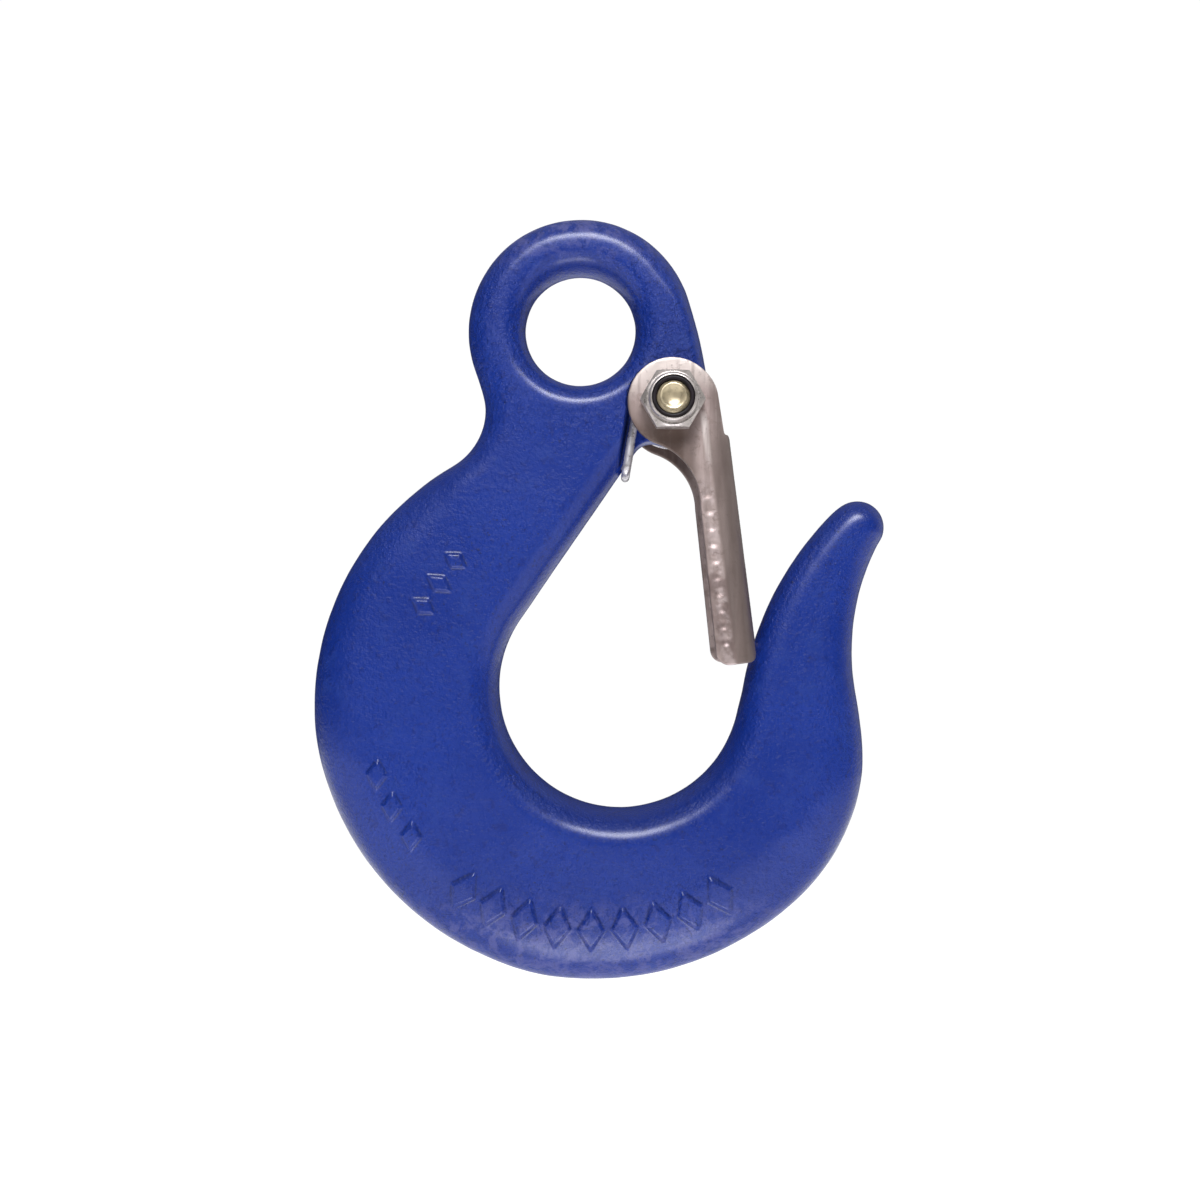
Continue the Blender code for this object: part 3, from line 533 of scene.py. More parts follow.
def latch_blank():
    """Unrolled outline of the blank, (t, u) pairs, one closed loop."""
    lean = math.radians(1.4)
    c_u, c_v, c_r = 29.1, -14.3, 18.9
    v0 = EAR_R / math.cos(lean)
    side = []                                    # t > 0 half, from the web's top edge
    notch_t = WEB_HALF + BEND_M * math.asin((10.2 - WEB_HALF) / BEND_M)
    side += [(tt, WEB_TOP) for tt in np.linspace(0, notch_t - 0.9, 24)]
    for i in range(1, 8):
        a = math.pi / 2 * i / 7
        side.append((notch_t - 0.9 + 0.9 * math.sin(a), WEB_TOP - 0.9 + 0.9 * math.cos(a)))
    u_meet = (BEND_C + BEND_M * math.cos((notch_t - WEB_HALF) / BEND_M) - v0) / math.tan(lean)
    us = np.linspace(min(u_meet, WEB_TOP - 1.0), -EAR_R * math.sin(lean), 30)
    for uu in us:
        side.append((float(unroll(np.array(v0 + uu * math.tan(lean)))), uu))
    a0, a1 = -lean, math.atan2(c_u, c_v) - 2 * math.pi
    for i in range(1, 160):
        a = a0 + (a1 - a0) * i / 160
        side.append((float(unroll(np.array(EAR_R * math.cos(a)))), EAR_R * math.sin(a)))
    b0, b1 = math.atan2(-c_u, -c_v), math.atan2(2.0, 18.6)
    for i in range(0, 60):
        b = b0 + (b1 - b0) * i / 60
        side.append((float(unroll(np.array(c_v + c_r * math.cos(b)))), c_u + c_r * math.sin(b)))
    r = 4.0
    cu, cv = LATCH_END - r, 3.6 + r
    v_a, u_a = c_v + c_r * math.cos(b1), c_u + c_r * math.sin(b1)
    for f in np.linspace(0, 1, 60):
        side.append((float(unroll(np.array(v_a + (3.6 - v_a) * f))), u_a + (cu - u_a) * f))
    for i in range(1, 12):
        b = math.pi - math.pi / 2 * i / 12
        side.append((float(unroll(np.array(cv + r * math.cos(b)))), cu + r * math.sin(b)))
    end_t = float(unroll(np.array(13.2)))
    side += [(tt, LATCH_END) for tt in np.linspace(float(unroll(np.array(cv))), end_t, 20)]
    for i in range(1, 12):                       # rounded foot of the bend
        a = math.pi / 2 * i / 12
        side.append((end_t - (end_t - notch_t) * math.sin(a), LATCH_END - 3.0 + 3.0 * math.cos(a)))
    side += [(notch_t, uu) for uu in np.linspace(LATCH_END - 3.0, WEB_END + 0.9, 6)]
    for i in range(1, 8):
        a = math.pi / 2 * i / 7
        side.append((notch_t - 0.9 * (1 - math.cos(a)), WEB_END + 0.9 - 0.9 * math.sin(a)))
    side += [(tt, WEB_END) for tt in np.linspace(notch_t - 0.9, 0, 24)[1:]]
    other = [(-t, u) for t, u in side[1:-1]][::-1]
    return np.array(side + other)


def latch_piece():
    loop = latch_blank()
    even, t, d = resample(loop, 1500)
    total = d[-1]
    even = ring_smooth(even, total, 0.45)
    if np.sum(even[:, 0] * np.roll(even[:, 1], -1) - even[:, 1] * np.roll(even[:, 0], -1)) < 0:
        even = even[::-1]
    count = 620
    P, _, _ = resample(even, count)
    N = left_normals(P, 1)
    loops = [(P, N)]
    for sgn in (1, -1):
        hn = 64
        a = -np.arange(hn) * 2 * math.pi / hn
        HN = np.column_stack([np.cos(a), np.sin(a)])
        loops.append((HN * EAR_HOLE_R + np.array([sgn * (BEND_T + BEND_C), 0.0]), HN))
    r = 0.5
    half = SHEET / 2
    offs = [(0.0, half - r)] + [(r * (1 - math.cos(a)), half - r + r * math.sin(a))
                                for a in np.linspace(0, math.pi / 2, 6)[1:]]
    verts, faces, ends, up, dn = [], [], [], [], []
    for Lp, Ln in loops:
        n = len(Lp)
        base = len(verts)
        verts += [(x, z, half - r) for x, z in Lp] + [(x, z, -(half - r)) for x, z in Lp]
        pu, pd_ = list(range(base, base + n)), list(range(base + n, base + 2 * n))
        for i in range(n):
            j = (i + 1) % n
            faces.append((pd_[i], pd_[j], pu[j], pu[i]))
        for dd, w in offs[1:]:
            q = Lp + Ln * dd
            fu = list(range(len(verts), len(verts) + n))
            verts += [(x, z, w) for x, z in q]
            fd = list(range(len(verts), len(verts) + n))
            verts += [(x, z, -w) for x, z in q]
            for i in range(n):
                j = (i + 1) % n
                faces.append((pu[i], pu[j], fu[j], fu[i]))
                faces.append((pd_[j], pd_[i], fd[i], fd[j]))
            pu, pd_ = fu, fd
        ends.append(q)
        up += pu
        dn += pd_
    # interior: fine round the bends, coarse on the flats, fine under the dimples
    g = []
    lo, hi = ends[0].min(0), ends[0].max(0)
    for sgn in (1, -1):
        tt = sgn * np.linspace(WEB_HALF - 0.6, BEND_T + 0.6, 17)
        uu = np.arange(lo[1], hi[1], 1.5)
        for i, x in enumerate(tt):
            g.append(np.column_stack([np.full(len(uu), x), uu + (0.75 if i % 2 else 0)]))
    grid = stagger(lo, hi, 1.6)
    a = np.abs(grid[:, 0])
    grid = grid[(a < WEB_HALF - 1.2) | (a > BEND_T + 1.2)]
    dim = [(sgn * (BEND_T + BEND_C - DIMPLE_V), u) for sgn in (1, -1) for u in DIMPLE_U]
    keep = np.ones(len(grid), bool)
    for x, u in dim:
        keep &= np.hypot(grid[:, 0] - x, grid[:, 1] - u) > 2.9
        f = stagger((x - 2.5, u - 2.5), (x + 2.5, u + 2.5), 0.36)
        g.append(f[np.hypot(f[:, 0] - x, f[:, 1] - u) < 2.4])
    g.append(grid[keep])
    inner = np.vstack(g)
    ok = inside(inner, ends[0])
    for lp in ends[1:]:
        ok &= ~inside(inner, lp)
    inner = inner[ok]
    inner = inner[nearest(inner, kd(np.vstack(ends)))[:, 1] > 0.35]
    base, k = len(verts), len(inner)
    verts += [(x, z, half) for x, z in inner] + [(x, z, -half) for x, z in inner]
    up += list(range(base, base + k))
    dn += list(range(base + k, base + 2 * k))
    for i, j, m in plate(ends, inner):
        faces.append((up[i], up[j], up[m]))
        faces.append((dn[m], dn[j], dn[i]))
    V = np.array(verts)
    # plain shallow dimples, pressed from outside
    sink = np.zeros(len(V))
    for x, u in dim:
        dist = np.hypot(V[:, 0] - x, V[:, 1] - u)
        sink = np.maximum(sink, 0.34 * (1 - smoothstep(0.2, 2.0, dist)))
    V[:, 2] = np.where(V[:, 2] > half - 0.01, V[:, 2] - sink, V[:, 2])
    # slight waviness of pressed sheet
    wav = np.array([0.05 * noise.noise(Vector((x / 9, u / 9, 1.7))) + 0.02 * noise.noise(Vector((x / 3, u / 3, 5.2)))
                    for x, u in V[:, :2]])
    V[:, 2] += np.minimum(wav, 0) * np.sign(V[:, 2])
    y, v = roll(V[:, 0], V[:, 2])
    W = np.column_stack([PIVOT_X + V[:, 1] * math.sin(LATCH_A) + v * math.cos(LATCH_A), y,
                         PIVOT_Z - V[:, 1] * math.cos(LATCH_A) + v * math.sin(LATCH_A)])
    return mesh_object("latch_stamping", W * MM, faces, 50)


DIMPLE_V = 6.9                 # plain round dimples down each flange
DIMPLE_U = [29.0 + 5.0 * i for i in range(10)]


# ---- fasteners ---------------------------------------------------------------
def solid(name, fill, smooth=30.0):
    bm = bmesh.new()
    fill(bm)
    bmesh.ops.recalc_face_normals(bm, faces=bm.faces)
    mesh = bpy.data.meshes.new(name)
    bm.to_mesh(mesh)
    bm.free()
    o = bpy.data.objects.new(name, mesh)
    bpy.context.scene.collection.objects.link(o)
    return o


def lathe(bm, profile, seg=96):
    closed = min(r for r, _ in profile) > 1e-9
    rows = []
    for r, y in profile:
        if r < 1e-9:
            rows.append([bm.verts.new((PIVOT_X * MM, y * MM, PIVOT_Z * MM))])
        else:
            rows.append([bm.verts.new(((PIVOT_X + r * math.cos(2 * math.pi * i / seg)) * MM, y * MM,
                                       (PIVOT_Z + r * math.sin(2 * math.pi * i / seg)) * MM))
                         for i in range(seg)])
    pairs = list(zip(rows, rows[1:])) + ([(rows[-1], rows[0])] if closed else [])
    for a, b in pairs:
        for i in range(seg):
            j = (i + 1) % seg
            if len(a) == 1:
                bm.faces.new((a[0], b[j], b[i]))
            elif len(b) == 1:
                bm.faces.new((a[i], a[j], b[0]))
            else:
                bm.faces.new((a[i], a[j], b[j], b[i]))


def soften(points, size, closed):
    """Round the corners of a profile with short four-point arcs."""
    out = []
    n = len(points)
    for i in range(n):
        p = np.array(points[i])
        if size[i] == 0 or (not closed and i in (0, n - 1)):
            out.append(p)
            continue
        u, v = np.array(points[i - 1]) - p, np.array(points[(i + 1) % n]) - p
        k = min(size[i], 0.4 * np.hypot(*u), 0.4 * np.hypot(*v))
        q0, q1 = p + u / np.hypot(*u) * k, p + v / np.hypot(*v) * k
        for t in (0, 1 / 3, 2 / 3, 1):
            out.append((1 - t) ** 2 * q0 + 2 * t * (1 - t) * p + t * t * q1)
    return out


HEX_STEPS = (-24, -18, -12, -6, -2.5, -0.88, -0.44, 0, 0.44, 0.88, 2.5, 6, 12, 18, 24, 30)
HEX_FILLET = 0.3


def hex_radius(deg):
    """Radius of the hexagon with softened corners, at an angle from a corner."""
    f = abs(math.radians(deg))
    c = (HEX_AF / 2 - HEX_FILLET) / math.cos(math.pi / 6)
    tangent = math.atan2(HEX_FILLET * 0.5, c + HEX_FILLET * math.cos(math.pi / 6))
    if f < tangent:
        return c * math.cos(f) + math.sqrt(HEX_FILLET**2 - (c * math.sin(f)) ** 2)
    return HEX_AF / 2 / math.cos(math.pi / 6 - f)


def hex_solid(name, profile, size, closed):
    """Solid made of columns round the hinge's axis, each from the profile at that hexagon radius."""
    def fill(bm):
        cols = []
        ends = None
        for k in range(6):
            for step in HEX_STEPS:
                a = math.radians(60 * k + step)
                pts = soften(profile(hex_radius(step)), size, closed)
                if not closed:
                    if ends is None:
                        ends = [bm.verts.new((PIVOT_X * MM, y * MM, PIVOT_Z * MM)) for _, y in (pts[0], pts[-1])]
                    pts = pts[1:-1]
                cols.append([bm.verts.new(((PIVOT_X + r * math.cos(a)) * MM, y * MM, (PIVOT_Z + r * math.sin(a)) * MM))
                             for r, y in pts])
        m = len(cols[0])
        for i in range(len(cols)):
            c, d = cols[i], cols[(i + 1) % len(cols)]
            for k in range(m if closed else m - 1):
                bm.faces.new((c[k], c[(k + 1) % m], d[(k + 1) % m], d[k]))
            if not closed:
                bm.faces.new((ends[0], c[0], d[0]))
                bm.faces.new((ends[1], d[-1], c[-1]))
    o = solid(name, fill)
    o.data.shade_smooth()
    o.data.set_sharp_from_angle(angle=math.radians(38))
    return o


EAR = LATCH_HALF_W + GAP
END = EAR + NUT_H
HEX_R = HEX_AF / math.sqrt(3)


def bolt_piece():
    """Hex bolt: chamfered head behind, threaded end in front with a dished face."""
    seg = 96
    pitch, depth = 1.5, 0.62
    t0, t1 = -END - 0.15, -9.0                  # threaded length
    bm = bmesh.new()
    rows = []

    def row(rf, y):
        rows.append([bm.verts.new(((PIVOT_X + rf(i) * math.cos(2 * math.pi * i / seg)) * MM, y * MM,
                                   (PIVOT_Z + rf(i) * math.sin(2 * math.pi * i / seg)) * MM))
                     for i in range(seg)])

    def thread(y):
        def rf(i):
            ph = ((y / pitch) - i / seg) % 1.0
            tri = abs(ph - 0.5) * 2
            cut = depth * (1 - min(1.0, max(0.0, (tri - 0.08) / 0.8)))
            fade = min(1.0, max(0.0, (t1 - y) / 1.5))
            lead = BOLT_R - max(0.0, (t0 + 0.95 - y)) * 0.95
            return min(BOLT_R - cut * fade, lead)
        return rf

    dish = [(0.7, -END + 0.42), (1.6, -END + 0.3), (2.6, -END - 0.02), (3.15, -END - 0.34), (3.5, -END - 0.47), (3.78, -END - 0.5), (3.98, -END - 0.42)]
    tip = bm.verts.new((PIVOT_X * MM, (-END + 0.46) * MM, PIVOT_Z * MM))
    for r, y in dish:
        row(lambda i, r=r: r, y)
    y = t0
    while y < t1 + 0.3:
        row(thread(y), y)
        y += pitch / 10
    row(lambda i: BOLT_R, t1 + 0.6)
    row(lambda i: BOLT_R, EAR + 1.0)
    end = bm.verts.new((PIVOT_X * MM, (EAR + 1.0) * MM, PIVOT_Z * MM))
    for i in range(seg):
        j = (i + 1) % seg
        bm.faces.new((tip, rows[0][j], rows[0][i]))
        bm.faces.new((rows[-1][i], rows[-1][j], end))
    for a, b in zip(rows, rows[1:]):
        for i in range(seg):
            j = (i + 1) % seg
            bm.faces.new((a[i], a[j], b[j], b[i]))
    bmesh.ops.recalc_face_normals(bm, faces=bm.faces)
    mesh = bpy.data.meshes.new("hinge_bolt")
    bm.to_mesh(mesh)
    bm.free()
    shank = bpy.data.objects.new("hinge_bolt", mesh)
    bpy.context.scene.collection.objects.link(shank)
    top, flat = EAR + HEAD_H, HEX_AF / 2 - 0.4
    head = hex_solid("hinge_bolt_head", lambda r: [(0, EAR), (r, EAR), (r, top - (r - flat) * 0.7), (flat, top), (0, top)],
                     (0, 0.16, 0.16, 0.3, 0), False)
    return shank, head


def nut_piece():
    base, top, foot = -EAR, -EAR - NUT_HEX_H, HEX_AF / 2 - 0.15
    lean = 1.6 / (HEX_R + 0.1 - COLLAR_R - 0.6)
    lip = [(COLLAR_R - 0.84 + 0.84 * math.cos(a), -END + 1.3 - 1.3 * math.sin(a)) for a in np.linspace(0, math.pi / 2, 7)]

    def profile(r):
        return [(NUT_BORE_R + 0.35, base), (foot, base), (r, base - (r - foot) * 0.76),
                (r, top + (r - COLLAR_R - 0.6) * lean), (COLLAR_R + 0.6, top), (COLLAR_R, top)] + lip + [
                (LIP_R, -END), (LIP_R, -END + 3.2), (NUT_BORE_R, -END + 3.2), (NUT_BORE_R, base - 0.35)]
    return hex_solid("lock_nut", profile, (0, 0.13, 0.13, 0.13, 0.13, 0) + (0,) * 7 + (0.13, 0, 0.1, 0), True)


def insert_piece():
    def fill(b):
        y0, y1 = -END + 3.05, -END + 0.35
        prof = [(BOLT_R + 0.04, y0), (BOLT_R + 0.04, y1 + 0.35)]
        for a in np.linspace(0, math.pi, 9)[1:-1]:
            m = (BOLT_R + 0.04 + LIP_R - 0.06) / 2
            hw = (LIP_R - 0.06 - BOLT_R - 0.04) / 2
            prof.append((m - hw * math.cos(a), y1 + 0.35 - 0.35 * math.sin(a)))
        prof += [(LIP_R - 0.06, y1 + 0.35), (LIP_R - 0.06, y0)]
        lathe(b, prof)
    o = solid("lock_nut_ring", fill)
    o.data.shade_smooth()
    o.data.set_sharp_from_angle(angle=math.radians(50))
    return o


# ---- spring ------------------------------------------------------------------
def spring_path():
    """Centre line of one half, loop to leg, finely spaced, and the twist share at each point."""
    y_in = LUG_HALF + 0.35 + WIRE_R
    leg_dir, n_leg = leg_direction()
    pivot = np.array([PIVOT_X, PIVOT_Z])
    tangent = pivot + n_leg * COIL_R
    corner = np.array(SPRING_LOOP)
    pts, share = [], []

    def put(x, y, z, w):
        pts.append((x, y, z))
        share.append(w)

    r = 3.2
    for yy in np.linspace(0, y_in - r, 6)[:-1]:
        put(corner[0], -yy, corner[1], 0)
    for i in range(0, 15):
        a = (math.pi / 2) * i / 14
        along, side = r * (1 - math.cos(a)), y_in - r + r * math.sin(a)
        p = corner + leg_dir * along
        put(p[0], -side, p[1], 0)
    length = (tangent - corner) @ leg_dir
    for t in np.linspace(r, length, 16)[1:-1]:
        p = corner + leg_dir * t
        put(p[0], -y_in, p[1], 0)
    a0 = math.atan2(n_leg[1], n_leg[0])
    out = math.radians(10.0)
    sweep = (a0 - out) + 2 * math.pi
    turns = sweep / (2 * math.pi)
    n = int(80 * turns)
    for i in range(n + 1):
        f = i / n
        a = a0 - sweep * f
        put(PIVOT_X + COIL_R * math.cos(a), -(y_in + COIL_PITCH * turns * f), PIVOT_Z + COIL_R * math.sin(a), f)
    y = y_in + COIL_PITCH * turns
    d = np.array([math.sin(out), -math.cos(out)])
    q = pivot + COIL_R * np.array([math.cos(out), math.sin(out)])
    for t in np.linspace(0, 20, 18)[1:]:
        p = q + d * t
        put(p[0], -y, p[1], 1)
    return np.array(pts), np.array(share)


def spring_piece(name, side):
    path, share = spring_path()
    if side > 0:
        path = path * np.array([1, -1, 1])
    seg = 22
    t = np.gradient(path, axis=0)
    t /= np.linalg.norm(t, axis=1)[:, None]
    t[0] = (0, -1 if side < 0 else 1, 0)
    # rounded cut end on the leg
    path = np.vstack([path, path[-1] + t[-1] * 0.18])
    t = np.vstack([t, t[-1]])
    share = np.append(share, 1.0)
    nrm = np.cross(t[0], (0.3, 0.1, 1.0))
    nrm /= np.linalg.norm(nrm)
    verts, faces, weight = [], [], []
    for i, p in enumerate(path):
        nrm = nrm - t[i] * (nrm @ t[i])
        nrm /= np.linalg.norm(nrm)
        b = np.cross(t[i], nrm)
        r = WIRE_R if i < len(path) - 1 else WIRE_R - 0.22
        for k in range(seg):
            a = 2 * math.pi * k / seg
            verts.append(p + r * (math.cos(a) * nrm + math.sin(a) * b))
            weight.append(share[i])
    m = len(path)
    for i in range(m - 1):
        for k in range(seg):
            j = (k + 1) % seg
            faces.append((i * seg + k, i * seg + j, (i + 1) * seg + j, (i + 1) * seg + k))
    faces.append(tuple(range(seg))[::-1])
    faces.append(tuple(range((m - 1) * seg, m * seg)))
    o = mesh_object(name, np.array(verts) * MM, faces, 50)
    return o, np.array(weight, np.float32)


# ---- materials ---------------------------------------------------------------
class Nodes:
    """Small helper to write a procedural material."""

    def __init__(self, name):
        self.m = bpy.data.materials.new(name)
        self.m.use_nodes = True
        self.t = self.m.node_tree
        self.b = self.t.nodes["Principled BSDF"]
        self.co = self.t.nodes.new("ShaderNodeTexCoord").outputs["Object"]

    def noise(self, scale, detail=3.0, rough=0.55, co=None, distortion=0.0):
        n = self.t.nodes.new("ShaderNodeTexNoise")
        n.inputs["Scale"].default_value = scale
        n.inputs["Detail"].default_value = detail
        n.inputs["Roughness"].default_value = rough
        n.inputs["Distortion"].default_value = distortion
        self.t.links.new(co or self.co, n.inputs["Vector"])
        return n.outputs["Fac"]

    def voronoi(self, scale, co=None, feature="F1"):
        n = self.t.nodes.new("ShaderNodeTexVoronoi")
        n.feature = feature
        n.inputs["Scale"].default_value = scale
        self.t.links.new(co or self.co, n.inputs["Vector"])
        return n.outputs["Distance"]

    def stretch(self, scale, rotation=(0, 0, 0), location=(0, 0, 0)):
        n = self.t.nodes.new("ShaderNodeMapping")
        n.inputs["Scale"].default_value = scale
        n.inputs["Rotation"].default_value = rotation
        n.inputs["Location"].default_value = location
        self.t.links.new(self.co, n.inputs["Vector"])
        return n.outputs["Vector"]

    def span(self, value, a, b, c=0.0, d=1.0, smooth=True):
        n = self.t.nodes.new("ShaderNodeMapRange")
        if smooth:
            n.interpolation_type = "SMOOTHSTEP"
        n.inputs["From Min"].default_value = a
        n.inputs["From Max"].default_value = b
        n.inputs["To Min"].default_value = c
        n.inputs["To Max"].default_value = d
        self.t.links.new(value, n.inputs["Value"])
        return n.outputs["Result"]

    def math(self, op, a, b=None):
        n = self.t.nodes.new("ShaderNodeMath")
        n.operation = op
        for i, v in enumerate((a, b)):
            if v is None:
                continue
            if isinstance(v, (int, float)):
                n.inputs[i].default_value = v
            else:
                self.t.links.new(v, n.inputs[i])
        return n.outputs[0]

    def mix(self, fac, a, b):
        n = self.t.nodes.new("ShaderNodeMix")
        n.data_type = "RGBA"
        for sock, v in ((n.inputs[0], fac), (n.inputs[6], a), (n.inputs[7], b)):
            if isinstance(v, tuple):
                sock.default_value = (*v, 1.0)
            elif isinstance(v, (int, float)):
                sock.default_value = v
            else:
                self.t.links.new(v, sock)
        return n.outputs[2]

    def pointiness(self):
        n = self.t.nodes.new("ShaderNodeNewGeometry")
        return n.outputs["Pointiness"]

    def xyz(self):
        n = self.t.nodes.new("ShaderNodeSeparateXYZ")
        self.t.links.new(self.co, n.inputs[0])
        return n.outputs

    def bump(self, layers):
        """Chain of (height, strength, distance in metres)."""
        prev = None
        for h, strength, dist in layers:
            n = self.t.nodes.new("ShaderNodeBump")
            n.inputs["Strength"].default_value = strength
            n.inputs["Distance"].default_value = dist
            self.t.links.new(h, n.inputs["Height"])
            if prev is not None:
                self.t.links.new(prev, n.inputs["Normal"])
            prev = n.outputs["Normal"]
        self.t.links.new(prev, self.b.inputs["Normal"])

    def set(self, **values):
        for k, v in values.items():
            sock = self.b.inputs[k.replace("_", " ")]
            if isinstance(v, (int, float, tuple)):
                sock.default_value = v if not (isinstance(v, tuple) and len(v) == 3) else (*v, 1.0)
            else:
                self.t.links.new(v, sock)


def paint():
    n = Nodes("hook_paint")
    large = n.noise(26, 4, 0.6)
    mid = n.noise(130, 4, 0.6)
    grain = n.noise(430, 3, 0.6)
    peel = n.noise(950, 2, 0.5)
    fine = n.noise(1900, 2, 0.5)
    pits = n.voronoi(380)
    x, y, z = n.xyz()
    # colour: deep blue, a little uneven in film thickness
    col = n.mix(n.span(large, 0.35, 0.68), (0.0025, 0.024, 0.232), (0.0050, 0.032, 0.282))
    col = n.mix(n.math("MULTIPLY", n.span(mid, 0.54, 0.70), 0.55), col, (0.011, 0.040, 0.27))
    col = n.mix(n.math("MULTIPLY", n.span(grain, 0.55, 0.68), 0.45), col, (0.003, 0.014, 0.150))
    # dusty patches on the crown of the eye and along the bottom, partly painted highlight: lighter blue where the top
    # and bottom highlights fall
    dust_and_highlight_zone = n.math("MAXIMUM", n.span(z, 0.016, 0.030), n.math("MULTIPLY", n.span(z, -0.170, -0.186), 0.8))
    crown = n.math("MULTIPLY", dust_and_highlight_zone, n.span(n.noise(230, 5, 0.65, distortion=0.6), 0.44, 0.60))
    col = n.mix(n.math("MULTIPLY", crown, 0.72), col, (0.100, 0.110, 0.33))
    # painted shade: darker in the concave corners round the raised studs
    col = n.mix(n.math("MULTIPLY", n.span(n.pointiness(), 0.490, 0.455), 0.80), col, (0.001, 0.005, 0.045))
    # specks where the film is thin
    speck = n.math("MULTIPLY", n.span(n.noise(1000, 2, 0.5), 0.62, 0.72), n.span(n.noise(45, 2), 0.46, 0.60))
    col = n.mix(n.math("MULTIPLY", speck, 0.6), col, (0.008, 0.012, 0.06))
    n.set(Base_Color=col, Metallic=0.0, IOR=1.5, Specular_IOR_Level=0.16, Coat_Weight=0.6, Coat_Roughness=0.26, Coat_IOR=1.5)
    rough = n.span(mid, 0.3, 0.7, 0.34, 0.52)
    rough = n.math("ADD", rough, n.math("MULTIPLY", crown, 0.25))
    n.set(Roughness=rough)
    # scale is coarser on the eye and along the bottom
    coarse = n.math("MAXIMUM", n.span(z, -0.046, -0.024), n.span(z, -0.150, -0.178))
    coarse = n.math("ADD", 1.0, n.math("MULTIPLY", coarse, 1.9))
    n.bump([
        (mid, 0.8, 0.0008),
        (n.math("MULTIPLY", grain, coarse), 0.9, 0.0006),
        (n.span(pits, 0.0, 0.35), 0.4, 0.00016),
        (n.math("MULTIPLY", peel, n.span(large, 0.38, 0.62, 0.55, 1.25)), 1.0, 0.00062),
        (fine, 0.7, 0.00014),
    ])
    return n.m


def latch_steel():
    n = Nodes("latch_steel")
    cloud = n.noise(60, 4, 0.6)
    streak = n.noise(300, 4, 0.6, co=n.stretch((1.0, 1.0, 0.10), rotation=(0, -LATCH_A, 0)))
    brush = n.noise(520, 3, 0.6, co=n.stretch((1.0, 1.0, 0.03), rotation=(0, -LATCH_A, 0), location=(0.3, 0.1, 0.2)))
    scuff = n.noise(420, 4, 0.65, distortion=0.5)
    fine = n.noise(1500, 2, 0.5)
    x, y, z = n.xyz()
    dx = n.math("SUBTRACT", x, PIVOT_X * MM)
    dz = n.math("SUBTRACT", z, PIVOT_Z * MM)
    ca, sa = math.cos(LATCH_A), math.sin(LATCH_A)
    v = n.math("ADD", n.math("MULTIPLY", dx, ca), n.math("MULTIPLY", dz, sa))
    u = n.math("SUBTRACT", n.math("MULTIPLY", dx, sa), n.math("MULTIPLY", dz, ca))
    col = n.mix(n.span(cloud, 0.35, 0.65), (0.325, 0.248, 0.232), (0.455, 0.362, 0.338))
    # painted highlight: the ear is much lighter over the top, where the light from above falls on it; painted shade:
    # dark over its lower part; also a little darker towards the upper back edge
    col = n.mix(n.math("MULTIPLY", n.span(u, 0.000, -0.011), 0.85), col, (0.86, 0.76, 0.71))
    low = n.math("MULTIPLY", n.span(u, 0.001, 0.009), n.span(u, 0.034, 0.018))
    low = n.math("MULTIPLY", low, n.span(v, 0.0075, 0.0005))
    col = n.mix(n.math("MULTIPLY", low, 0.85), col, (0.105, 0.066, 0.050))
    side = n.math("MULTIPLY", n.span(v, -0.006, -0.012), n.span(u, -0.010, 0.001))
    col = n.mix(n.math("MULTIPLY", side, 0.45), col, (0.13, 0.085, 0.07))
    # painted highlight: a bright line down the start of the bend on the ear
    glint = n.math("MULTIPLY", n.span(n.math("ABSOLUTE", n.math("SUBTRACT", v, 0.0088)), 0.0014, 0.0004), n.span(u, 0.003, 0.007))
    glint = n.math("MULTIPLY", glint, n.span(u, 0.024, 0.014))
    col = n.mix(n.math("MULTIPLY", glint, 0.6), col, (0.88, 0.80, 0.76))
    # painted shade: darker along the bends and the web, where the sheet curves away from the light
    bend = n.math("MULTIPLY", n.span(v, 0.0084, 0.0100), n.span(u, 0.006, 0.016))
    col = n.mix(n.math("MULTIPLY", bend, 0.72), col, (0.15, 0.112, 0.098))
    # lighter worn strip down the middle of each flange
    strip = n.math("MULTIPLY", n.span(n.math("ABSOLUTE", n.math("SUBTRACT", v, DIMPLE_V * MM)), 0.0026, 0.0012), n.span(u, 0.022, 0.030))
    strip = n.math("MULTIPLY", strip, n.span(n.noise(330, 3, 0.6), 0.40, 0.58))
    col = n.mix(n.math("MULTIPLY", strip, 0.50), col, (0.66, 0.55, 0.54))
    # patchy darker tone between the dimples, heavier towards the foot
    foot = n.math("MULTIPLY", n.span(u, 0.036, 0.062), n.span(v, 0.0105, 0.0085))
    patch = n.noise(210, 2, 0.5)
    col = n.mix(n.math("MULTIPLY", n.math("MULTIPLY", foot, n.span(patch, 0.40, 0.62)), 0.72), col, (0.18, 0.125, 0.115))
    # drawing lines along the web
    lines = n.math("MULTIPLY", n.span(brush, 0.46, 0.66), n.span(v, 0.0094, 0.0104))
    col = n.mix(n.math("MULTIPLY", lines, 0.60), col, (0.24, 0.19, 0.175))
    # streaks along the sheet and scuffs
    col = n.mix(n.math("MULTIPLY", n.span(streak, 0.50, 0.68), 0.55), col, (0.22, 0.17, 0.155))
    col = n.mix(n.math("MULTIPLY", n.span(scuff, 0.54, 0.68), 0.55), col, (0.20, 0.15, 0.135))
    top = n.span(u, 0.002, -0.010)
    n.set(Base_Color=col, Metallic=n.span(top, 0.0, 1.0, 0.5, 0.25))
    n.set(Roughness=n.span(streak, 0.3, 0.7, 0.34, 0.52))
    n.bump([(cloud, 0.3, 0.0004), (scuff, 0.5, 0.00016), (streak, 0.3, 0.00008), (fine, 0.2, 0.00002)])
    return n.m


